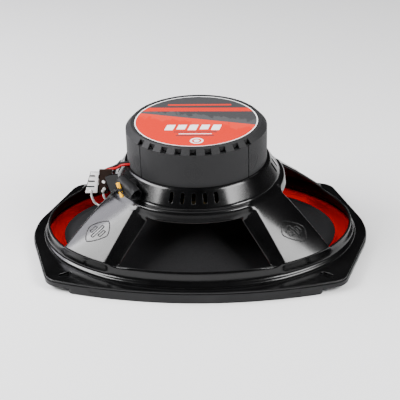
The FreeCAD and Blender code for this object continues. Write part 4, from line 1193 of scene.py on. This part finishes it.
RED_LEAD = [(-63.6, -11.2, 59.4), (-63.6, -8.4, 59.4), (-59.6, -8.0, 59.8), (-54.6, -12.0, 62.4),
            (-50.0, -15.4, 67.2), (-42.0, -16.2, 67.2)]
BLACK_LEAD = [(-66.0, -11.2, 57.4), (-66.0, -6.6, 57.4), (-60.8, -4.6, 58.8), (-55.0, -8.6, 62.8),
              (-50.8, -12.4, 67.2), (-42.8, -13.4, 67.2)]
CAPACITOR_LEAD = [(0.5, 0.5, 12.4), (0.5, 0.5, 18.5), (2.8, 0.4, 20.7), (6.2, -0.2, 19.1), (7.4, -0.3, 12.9),
                  (7.4, -1.4, 6.9)]


def round_leads():
    """Insulated leads to the tweeters and the thin lead between the capacitors."""
    routes = {"tweeter_lead_red": (RED_LEAD, 0.9), "tweeter_lead_black": (BLACK_LEAD, 0.9),
              "capacitor_lead": ([at_capacitor(*point) for point in CAPACITOR_LEAD], 0.45)}
    for name, (points, radius) in routes.items():
        mesh, _ = strands(name + "_round", route(points), radius)
        new_piece(name + "_round", mesh, "frame", SLOTS[name], name)


def sleeve_radius(along, angle, inner):
    """Radius of the shrunk sleeve: smooth over the can, drawn in and creased past its end."""
    past = smoothstep((along - 11.5) / 6.0)
    crease = 0.16 * sin(3 * angle + 0.4 * along) + 0.10 * sin(7 * angle - 0.9 * along)
    radius = 4.78 - 0.42 * past + crease * (0.35 + 0.65 * past)
    return min(4.9, radius) - (0.45 if inner else 0.0)


def sleeve_ring(level, inner, shrink=1.0):
    """Points once around the sleeve at a level."""
    spots = []
    for angle in turns(72):
        radius = shrink * sleeve_radius(level, angle, inner)
        spots.append(at_capacitor(radius * cos(angle), radius * sin(angle), level))
    return spots


def capacitor_sleeve():
    """Shrunk sleeve over the capacitor, open at the front end."""
    levels = [0.0, 0.25, 1.0, 3.0, 5.0, 7.0, 9.0, 11.0, 12.0, 13.0, 14.0, 15.0, 16.0, 17.0, 17.8]
    end_shrink = {0.0: 0.86, 0.25: 0.97}
    rows = [[at_capacitor(0.4 * cos(a), 0.4 * sin(a), 0.0) for a in turns(72)]]
    rows += [sleeve_ring(level, False, end_shrink.get(level, 1.0)) for level in levels]
    rows += [sleeve_ring(level, True) for level in levels[:6:-1]]
    mesh = grid_mesh("sleeve", rows, closed=False)
    piece = new_piece("capacitor_sleeve_shrunk", mesh, "frame", "sleeve_rubber", "capacitor_sleeve")
    shade(piece.data, 55.0)


def blob(name, centre, radii, slot, turn=0.0):
    """Rounded lump, such as solder."""
    work = bmesh.new()
    bmesh.ops.create_icosphere(work, subdivisions=3, radius=1.0)
    spin = Matrix.Rotation(turn, 3, "Z")
    for vertex in work.verts:
        p = vertex.co.normalized()
        swell = 1.0 + (0.12 * sin(3.1 * p.x + 1.3) * cos(2.7 * p.y - 0.6)
                       * sin(2.3 * p.z + 0.9))
        local = Vector((p.x * radii[0], p.y * radii[1], p.z * radii[2])) * swell
        vertex.co = (Vector(centre) + spin @ local) * MM
    mesh = mesh_of(work, name)
    shade(mesh, 80.0)
    new_piece(name, mesh, "frame", slot)


def small_blobs():
    """Solder on the terminals and a dark lump under the capacitor."""
    blob("solder_tab", (-73.6, -13.5, 45.2), (1.3, 0.7, 1.5), "tinned_brass")
    blob("solder_board_front", (-65.5, -13.0, 45.2), (1.2, 0.6, 1.4), "tinned_brass")
    blob("solder_red_lead", (-63.6, -11.0, 59.4), (1.3, 0.7, 1.3), "tinned_brass")
    blob("solder_black_lead", (-66.0, -11.0, 57.4), (1.3, 0.7, 1.2), "tinned_brass")
    middle = at_capacitor(-4.0, 0.0, 6.0)
    # Dark lump in the sleeve's black, between the capacitor and the neck.
    blob("dark_lump_rear", middle, (4.2, 6.4, 3.2), "sleeve_rubber", radians(-48))


def rounded_piece(name, vertices, faces, slot, rounding, *replaced):
    """Piece of the frame from flat faces, with its edges rounded."""
    piece = new_piece(name, mesh_from(name, vertices, faces), None, slot, *replaced)
    bevelled(piece, rounding)
    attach(piece, "frame")


def film_strap():
    """Dark tape around the middle of the film capacitor."""
    low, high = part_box("film_capacitor")
    centre = (low + high) / 2 / MM
    outward, across, along = capacitor_frame()
    lean = radians(39)
    length_axis = across * cos(lean) + along * sin(lean)
    width_axis = along * cos(lean) - across * sin(lean)
    vertices = []
    for x in (-1.02, 1.02):
        for y in (-1.1, 1.1):
            for z in (-1.5, 1.5):
                vertices.append((centre + outward * x + length_axis * y + width_axis * z) * MM)
    faces = [(0, 1, 3, 2), (4, 6, 7, 5), (0, 4, 5, 1), (2, 3, 7, 6), (0, 2, 6, 4), (1, 5, 7, 3)]
    rounded_piece("film_strap", vertices, faces, "sleeve_rubber", 0.25)


def upright_plate(name, outline, front, rear, slot, rounding, *replaced):
    """Plate over an outline in (x, z), between two Y places, with rounded edges."""
    count = len(outline)
    vertices = [Vector((x, y, z)) * MM for y in (front, rear) for x, z in outline]
    faces = [tuple(range(count)), tuple(range(2 * count - 1, count - 1, -1))]
    faces += [(i, i + count, (i + 1) % count + count, (i + 1) % count) for i in range(count)]
    rounded_piece(name, vertices, faces, slot, rounding, *replaced)


def comb_tab():
    """Comb-shaped terminal with three gaps open to its slanted side, and a dark plate behind it as painted
    shadow that shows through the gaps.
    """
    foot, top = 44.0, 60.2

    def left(height):
        return -77.9 + 5.3 * (height - foot) / (top - foot)

    def right(height):
        return -69.4 + 2.0 * (height - foot) / (top - foot)

    outline = [(left(foot), foot), (right(foot), foot), (right(top), top), (left(top), top)]
    for gap in (56.6, 52.5, 48.4):
        upper = gap + 1.2
        outline += [(left(upper), upper), (right(upper) - 2.3, upper), (right(gap) - 1.9, gap + 0.6),
                    (right(gap) - 2.3, gap), (left(gap), gap)]
    upright_plate("comb_tab", outline, -13.6, -12.8, "tinned_brass", 0.13, "terminal_positive")
    # Dark plate behind the tab: painted shadow, so that the gaps read dark.
    low, high = foot + 0.9, top - 0.3
    shadow_backing = [(left(foot) - 0.2, low), (right(foot), low), (right(top), high), (left(top) - 0.5, high)]
    upright_plate("tab_shadow_backing", shadow_backing, -12.78, -11.9, "sleeve_rubber", 0.12)


def soft_edges():
    """Rounded edges on the moulded and punched parts."""
    widths = {"magnet_boot": 0.35, "trim_ring": 0.4, "terminal_negative": 0.14,
              "terminal_board": 0.16, "terminal_bracket": 0.28, "tweeter_pod": 0.5, "pod_faceplate": 0.25,
              "film_capacitor": 0.4, "board_rivets": 0.2}
    for node, width in widths.items():
        softened(node, width)


place_camera()
place_lights()
place_floor()
paint_cad_nodes()
basket_shell()
basket_neck()
basket_flange()
surround_roll()
spider_cloth()
cone_shell()
tinsel_leads()
marks()
round_leads()
capacitor_sleeve()
small_blobs()
film_strap()
comb_tab()
soft_edges()
